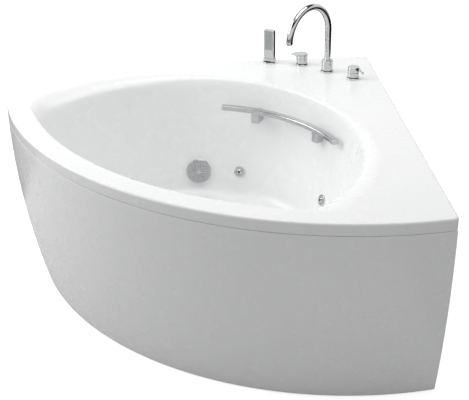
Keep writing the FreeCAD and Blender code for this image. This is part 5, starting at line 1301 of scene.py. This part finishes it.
class Handles(Assembly):
    """Mixer with its lever and diverter with its side pin."""

    sizes = LeverSizes()

    def bases(self) -> None:
        """Fixed lower bodies with the necks on which the handles turn."""
        low = TAP.foot + TAP.socket
        neck = TAP.lower_top + TAP.neck
        corners = [(0.0, neck), (TAP.stem, neck), (TAP.stem, TAP.lower_top), (TAP.body, TAP.lower_top),
                   (TAP.body, TAP.foot), (TAP.shank, TAP.foot), (TAP.shank, low), (0.0, low)]
        profile = rounded(corners, [0.0, 0.0003, 0.0, 0.0004, 0.0005, 0.0, 0.0, 0.0], 5, closed=False)
        form = Form()
        for name in ("mixer", "diverter"):
            form.grid(DECK.placing(name).put(turned(profile, 96)))
        self.place(form, "handle_base_skins", "handle_bases")

    def turret(self, top: float) -> Array:
        """Turning body, hollow for the neck, up to a height above the deck."""
        low = TAP.lower_top + TAP.gap
        bore = TAP.stem + TAP.clear
        corners = [(0.0, low + TAP.neck), (bore, low + TAP.neck), (bore, low), (TAP.body, low),
                   (TAP.body, top), (0.0, top)]
        return turned(rounded(corners, [0.0, 0.0, 0.0, 0.0004, TAP.edge, 0.0], 6, closed=False), 96)

    def lever(self) -> Array:
        """Disc and blade: the farther of the two along every ray, with a rounded upper edge."""
        size = self.sizes
        root, tip = size.root / 2.0, size.tip / 2.0
        blade = rounded([(0.0, -root), (size.reach, -tip), (size.reach, tip), (0.0, root)],
                        [0.0, size.tip_round, size.tip_round, 0.0], 8)
        ray = np.arctan2(blade[:, 1], blade[:, 0])
        order = np.argsort(ray)
        phase = np.linspace(-math.pi, math.pi, 240, endpoint=False)
        reach = np.interp(phase, ray[order], np.linalg.norm(blade, axis=1)[order], left=0.0, right=0.0)
        reach = np.maximum(reach, TAP.body)
        turn = np.linspace(0.0, math.pi / 2.0, 7)
        low = TAP.body_top - size.thick
        inset = np.concatenate([[size.chamfer, 0.0], TAP.edge * (1.0 - np.cos(turn))])
        level = np.concatenate([[low, low + size.chamfer], TAP.body_top - TAP.edge * (1.0 - np.sin(turn))])
        rows = circles(reach[None, :] - inset[:, None], phase, level[:, None])
        within = rows[[0, -1]] * np.array([0.6, 0.6, 1.0])
        return with_caps(np.concatenate([within[:1], rows, within[1:]]))

    def pin(self) -> list[Array]:
        """Boss, dipping rod and thicker end of the diverter's side pin."""
        size = self.sizes
        dip = math.radians(size.pin_dip)
        down = np.array([math.cos(dip), 0.0, -math.sin(dip)])
        root = np.array([TAP.body, 0.0, size.pin_level])
        half = size.boss / 2.0
        block = rounded([(-half, -half), (half, -half), (half, half), (-half, half)], TAP.edge, 4)
        front = TAP.body + size.boss_proud
        depth = np.array([TAP.body - size.boss_root, front - size.boss_edge, front])[:, None]
        draw = np.array([1.0, 1.0, 0.9])[:, None]
        across, up = draw * block[:, 0], size.pin_level + draw * block[:, 1]
        boss = np.stack(np.broadcast_arrays(depth, across, up), axis=-1)
        placing = Placing.along(root, down)
        back, middle = -size.boss_root, size.pin_length
        tip = middle + size.pin_tip_length
        rod = turned(np.array([(0.0, back), (size.pin, back), (size.pin, middle), (0.0, middle)]), 32)
        corners = [(0.0, middle), (size.pin_tip, middle), (size.pin_tip, tip), (0.0, tip)]
        end = turned(rounded(corners, [0.0, 0.0008, 0.0014, 0.0], 5, closed=False), 40)
        return [with_caps(boss), placing.put(rod), placing.put(end)]

    def build(self) -> None:
        """Make the bases, the turret, the lever and the knob."""
        self.bases()
        size = self.sizes
        turret = self.turret(TAP.body_top - size.thick - size.lift_gap)
        knob = DECK.placing("diverter", size.pin_heading)
        forms = {"mixer_turret": Form().grid(DECK.placing("mixer").put(turret)),
                 "mixer_lever": Form().grid(DECK.placing("mixer", size.heading).put(self.lever())),
                 "diverter_knob": Form().grid(knob.put(self.turret(TAP.body_top)))}
        for rows in self.pin():
            forms["diverter_knob"].grid(knob.put(rows))
        for node, form in forms.items():
            self.place(form, node + "_skin", node, node)


@dataclass(frozen=True)
class JetSizes:
    """Sizes of a wall jet in front of its seat."""

    ring: float = 0.0225
    face: float = 0.0065
    back: float = 0.0023
    sleeve: float = 0.0151
    sleeve_end: float = -0.004
    room: float = 0.0139
    ball: float = 0.0135
    ball_front: float = 0.011
    ball_back: float = -0.0085
    throat: float = 0.0045
    mouth: float = 0.0095
    mouth_past: float = 0.001
    throat_end: float = 0.002
    chamfer: float = 0.0006
    notch: float = 0.0016
    notches: int = 8


class WallJets(Assembly):
    """Turning rings and eyeball nozzles of the four jets."""

    sizes = JetSizes()

    def ring(self) -> Array:
        """Ring with a ball socket; scallops are cut from its rim as arcs of small circles."""
        size = self.sizes
        top = math.sqrt(size.room ** 2 - size.face ** 2)
        lift = np.linspace(math.asin(size.face / size.room), math.asin(size.sleeve_end / size.room), 12)[1:]
        corners = [(size.sleeve, size.sleeve_end), (size.sleeve, size.back), (size.ring, size.back),
                   (size.ring, size.face), (top, size.face)]
        outline = rounded(corners, [0.0, 0.0, 0.0004, 0.0024, 0.0004], 6)
        socket = np.stack([size.room * np.cos(lift), size.room * np.sin(lift)], axis=-1)
        rows = turned(np.concatenate([outline, socket]), 240)
        phase = np.arctan2(rows[..., 1], rows[..., 0])
        radius = np.hypot(rows[..., 0], rows[..., 1])
        step = TURN / size.notches
        off = size.ring * np.abs((phase + step / 2.0) % step - step / 2.0)
        limit = size.ring - np.sqrt(np.clip(size.notch ** 2 - off ** 2, 0.0, None))
        factor = np.minimum(radius, np.maximum(limit, size.sleeve)) / np.maximum(radius, 1e-9)
        return rows * np.stack([factor, factor, np.ones_like(factor)], axis=-1)

    def nozzle(self) -> Array:
        """Ball cut flat at both ends, with a throat that widens backwards."""
        size = self.sizes
        lift = np.linspace(math.asin(size.ball_back / size.ball), math.asin(size.ball_front / size.ball), 20)
        ball = np.stack([size.ball * np.cos(lift), size.ball * np.sin(lift)], axis=-1)
        depth = size.throat_end - size.ball_back
        mouth = size.throat + (size.mouth - size.throat) * depth / (depth + size.mouth_past)
        throat = np.array([(size.throat + size.chamfer, size.ball_front),
                           (size.throat, size.ball_front - size.chamfer),
                           (size.throat, size.throat_end), (mouth, size.ball_back)])
        return turned(np.concatenate([ball, throat]), 72)

    def build(self) -> None:
        """Make the ring and the nozzle of every jet."""
        for number, seat in enumerate(Seats.JETS, 1):
            placing = seat.placing()
            for part, rows in (("ring", self.ring()), ("nozzle", self.nozzle())):
                node = f"jet_{part}_{number}"
                form = Form().grid(placing.put(rows), loop=True)
                self.place(form, node + "_skin", node, node, sharp=40.0)


@dataclass(frozen=True)
class LegSizes:
    """Sizes of the levelling feet and the places of their rails."""

    rail_foot: float = 0.2025
    stud: float = 0.006
    pitch: float = 0.00175
    thread: float = 0.0009
    socket_floor: float = 0.005
    pad: float = 0.025
    pad_height: float = 0.012
    nut: float = 0.0095
    nut_height: float = 0.010
    nut_drop: float = 0.014
    places: tuple[tuple[float, float], ...] = (
        (0.145, 0.0), (1.010, 0.815), (1.010, -0.815), (0.760, -0.290), (0.760, 0.290),
        (1.29994, -0.400), (1.29994, 0.400))


class LevellingFeet(Assembly):
    """Threaded studs with their nuts, and the pads that they stand in."""

    sizes = LegSizes()

    def stud(self) -> Array:
        """Rod whose radius falls and rises along a helix: one dip for every pitch of height less turn."""
        size = self.sizes
        level = np.arange(size.socket_floor, size.rail_foot, size.pitch / 4.0)[:, None]
        phase = np.linspace(0.0, TURN, 16, endpoint=False)[None, :]
        share = (level / size.pitch - phase / TURN) % 1.0
        return with_caps(circles(size.stud - size.thread * np.abs(2.0 * share - 1.0), phase, level))

    def nut(self, top: float) -> Array:
        """Hexagon nut whose corners are cut by a cone at both faces."""
        size = self.sizes
        phase = np.linspace(0.0, TURN, 48, endpoint=False)
        sector = (phase + math.pi / 6.0) % (math.pi / 3.0) - math.pi / 6.0
        low = top - size.nut_height
        cone = size.nut + np.array([0.0, 0.0006, 0.0013, 0.0013, 0.0006, 0.0])
        level = np.array([low, low + 0.0003, low + 0.0012, top - 0.0012, top - 0.0003, top])
        outer = np.minimum(size.nut / np.cos(sector)[None, :], cone[:, None])
        bore = np.full((2, len(phase)), size.stud)
        return circles(np.concatenate([outer, bore]), phase, np.concatenate([level, [top, low]])[:, None])

    def build(self) -> None:
        """Make the studs with their nuts, and the pads."""
        size = self.sizes
        studs, pads = Form(), Form()
        tops = (size.rail_foot, size.rail_foot - size.nut_height - size.nut_drop)
        corners = [(0.0, 0.0), (size.pad, 0.0), (size.pad, size.pad_height),
                   (size.stud, size.pad_height), (size.stud, size.socket_floor), (0.0, size.socket_floor)]
        pad = turned(rounded(corners, [0.0, 0.0012, 0.003, 0.0006, 0.0, 0.0], 6, closed=False), 72)
        for x, y in size.places:
            placing = Placing.upright(x, y, 0.0)
            studs.grid(placing.put(self.stud()))
            for top in tops:
                studs.grid(placing.put(self.nut(top)), loop=True)
            pads.grid(placing.put(pad))
        self.place(studs, "leg_stud_skins", "leg_studs_and_nuts", finish=Finish.ZINC, sharp=30.0)
        self.place(pads, "foot_pad_skins", "foot_pads", finish=Finish.BLACK_PLASTIC, sharp=40.0)


# ---------------------------------------------------------------- carried-over pieces
NODES_OF_FINISH: dict[Finish, tuple[str, ...]] = {
    Finish.ZINC: ("panel_strike_plates", "panel_stays", "grab_bolts_and_nuts"),
    Finish.GALVANISED: ("frame_tubes",),
    Finish.CHIPBOARD: ("base_board",),
    Finish.CHROME: ("waste_flange", "waste_plug", "overflow_cover", "overflow_knob", "suction_grille",
                    "suction_screw", "button_bezel", "air_button", "grab_posts", "shower_holder",
                    "hand_shower"),
    Finish.WHITE_PLASTIC: ("waste_body", "waste_trap", "trap_nut", "overflow_body", "suction_body",
                           "jet_bodies", "wall_nuts"),
    Finish.GREY_PIPE: ("overflow_pipe", "suction_line", "pressure_line"),
    Finish.BLACK_PLASTIC: ("panel_magnet_holders", "tube_end_caps", "pump_volute", "motor_cowl",
                           "terminal_box", "spout_aerator"),
    Finish.CAST_ALLOY: ("pump_motor",),
    Finish.POWDER_COAT: ("pump_stand",),
    Finish.RUBBER: ("pump_feet", "rubber_rings"),
    Finish.BRASS: ("tap_shanks", "deck_nuts", "valve_blocks"),
    Finish.SILICONE: ("spray_face",),
}
NODE_FINISH = {node: finish for finish, nodes in NODES_OF_FINISH.items() for node in nodes}


@dataclass
class CarriedPieces:
    """Pieces whose shape comes from the frame and which only need their finish."""

    paints: Paints
    nodes: dict[str, bpy.types.Object]
    weld: float = 1e-5
    sharp: float = 28.0

    def build(self) -> int:
        """Dress every node that shows and smooth its shading up to an angle."""
        dressed = 0
        for name, node in self.nodes.items():
            if node.hide_render:
                continue
            node.data.materials.clear()
            node.data.materials.append(self.paints[NODE_FINISH[name]])
            node.data.polygons.foreach_set("use_smooth", np.ones(len(node.data.polygons), bool))
            merge = node.modifiers.new("merge", "WELD")
            merge.merge_threshold = self.weld
            split = node.modifiers.new("split", "EDGE_SPLIT")
            split.split_angle = math.radians(self.sharp)
            dressed += 1
        return dressed


# ---------------------------------------------------------------- studio
@dataclass(frozen=True)
class Studio:
    """Camera, pale floor and plain soft light.

    The camera is given by its place, its turn from +Y towards +X, its tilt down
    and its roll; the focal length counts pixels of a 469 pixel wide frame.
    """

    place: tuple[float, float, float] = (-0.1423, -3.4768, 2.2114)
    yaw: float = 0.07478
    pitch: float = 0.47271
    roll: float = -0.00925
    focal_pixels: float = 1047.5
    frame_pixels: float = 469.0
    sensor: float = 36.0
    floor_half: float = 60.0
    aim: tuple[float, float, float] = (0.0, 0.0, 0.5)
    floor_tone: float = 0.60
    floor_glow: float = 0.75
    sky: float = 0.47
    dark_from: tuple[float, float] = (0.50, 0.58)
    dark_to: tuple[float, float] = (0.78, 0.90)

    def camera(self) -> None:
        """Stand the camera where the photograph was taken."""
        level = math.cos(self.pitch)
        forward = Vector((math.sin(self.yaw) * level, math.cos(self.yaw) * level, -math.sin(self.pitch)))
        right = Vector((math.cos(self.yaw), -math.sin(self.yaw), 0.0))
        up = right.cross(forward)
        turned_right = right * math.cos(self.roll) + up * math.sin(self.roll)
        turned_up = up * math.cos(self.roll) - right * math.sin(self.roll)
        data = bpy.data.cameras.new("camera")
        data.sensor_width = self.sensor
        data.lens = self.focal_pixels / self.frame_pixels * self.sensor
        camera = bpy.data.objects.new("camera", data)
        rotation = Matrix((turned_right, turned_up, -forward)).transposed().to_4x4()
        camera.matrix_world = Matrix.Translation(self.place) @ rotation
        bpy.context.scene.collection.objects.link(camera)
        bpy.context.scene.camera = camera

    def floor(self) -> None:
        """Wide pale floor; only camera rays see it lifted to white."""
        g = Graph("floor_paint")
        path = g.node("ShaderNodeLightPath", {}, {})
        seen = Sock(g, path.outputs["Is Camera Ray"])
        paint = g.dress(Base_Color=grey(self.floor_tone), Roughness=0.9, Specular_IOR_Level=0.0,
                        Emission_Color=g.blend(seen, grey(0.0), grey(1.0)), Emission_Strength=self.floor_glow)
        self.sheet("floor", (2.0 * self.floor_half, 2.0 * self.floor_half), paint)

    def sheet(self, name: str, size: tuple[float, float], paint: bpy.types.Material) -> bpy.types.Object:
        """Level rectangle of the stage about the origin."""
        mesh = bpy.data.meshes.new(name)
        x, y = size[0] / 2.0, size[1] / 2.0
        mesh.from_pydata([(-x, -y, 0.0), (x, -y, 0.0), (x, y, 0.0), (-x, y, 0.0)], [], [(0, 1, 2, 3)])
        mesh.materials.append(paint)
        made = bpy.data.objects.new(name, mesh)
        bpy.context.scene.collection.objects.link(made)
        return made

    def lamp(self, name: str, place: Sequence[float], size: float, power: float) -> None:
        """Square soft lamp aimed at the middle of the tub."""
        data = bpy.data.lights.new(name, "AREA")
        data.size = size
        data.energy = power
        lamp = bpy.data.objects.new(name, data)
        lamp.location = place
        lamp.rotation_euler = (Vector(self.aim) - Vector(place)).to_track_quat("-Z", "Y").to_euler()
        bpy.context.scene.collection.objects.link(lamp)

    def flag(self, name: str, place: Sequence[float], size: tuple[float, float]) -> None:
        """Dark card on the floor that only mirrors see, for the dark streaks in the chrome."""
        paint = Graph(name).dress(Base_Color=grey(0.01), Roughness=1.0, Specular_IOR_Level=0.0)
        card = self.sheet(name, size, paint)
        card.location = place
        card.visible_camera = card.visible_diffuse = card.visible_shadow = card.visible_transmission = False

    def sky_light(self) -> None:
        """Even world light, white for camera and transmitted rays, with a dark belt in mirrors."""
        world = bpy.data.worlds.new("studio")
        bpy.context.scene.world = world
        g = Graph("studio", world)
        path = g.node("ShaderNodeLightPath", {}, {})
        straight = Sock(g, path.outputs["Is Camera Ray"]) + Sock(g, path.outputs["Is Transmission Ray"])
        height = g.part(Sock(g, g.node("ShaderNodeTexCoord", {}, {}).outputs["Generated"]), 2)
        dark = height.ramp(*self.dark_from) - height.ramp(*self.dark_to)
        mirrored = g.blend(dark, grey(1.0), grey(0.03))

        def light(colour: object, strength: float) -> Sock:
            """Background of one strength."""
            node = g.node("ShaderNodeBackground", {}, {"Color": colour, "Strength": strength})
            return Sock(g, node.outputs[0])

        def choose(factor: Sock, first: Sock, second: Sock) -> Sock:
            """One of two backgrounds."""
            return Sock(g, g.node("ShaderNodeMixShader", {}, {0: factor, 1: first, 2: second}).outputs[0])

        glossy = Sock(g, path.outputs["Is Glossy Ray"])
        shown = choose(straight, choose(glossy, light(grey(1.0), self.sky), light(mirrored, 1.0)),
                       light(grey(1.0), 1.0))
        g.node("ShaderNodeOutputWorld", {}, {0: shown})

    def build(self) -> None:
        """Set the whole stage."""
        self.camera()
        self.floor()
        self.sky_light()
        self.lamp("key", (-3.1, 1.0, 2.7), 2.4, 70.0)
        self.lamp("top", (0.5, 0.5, 3.6), 2.6, 42.0)
        self.flag("right_flag", (2.55, 0.9, 0.01), (3.4, 7.0))
        self.flag("back_flag", (-1.5, 2.55, 0.01), (4.6, 3.4))
        bpy.context.scene.view_settings.view_transform = "Standard"


# ---------------------------------------------------------------- assembly
def report(name: str, made: object) -> None:
    """Log what a sub-assembly made."""
    LOG.info("%s: %s", name, made)


def main() -> None:
    """Build the whole scene round the frame."""
    logging.basicConfig(level=logging.INFO)
    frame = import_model()
    Studio().build()
    paints = Paints()
    report("tub shell", [piece.name for piece in TubShell(paints).build()])
    report("front panel", FrontPanel(paints).build().name)
    for kind in (GrabRail, DeckRoses, Filler, Handles, WallJets, LevellingFeet):
        assembly = kind(paints)
        assembly.build()
        report(kind.__name__, [piece.name for piece in assembly.pieces])
    report("carried pieces", CarriedPieces(paints, frame["nodes"]).build())


if __name__ == "__main__":
    main()
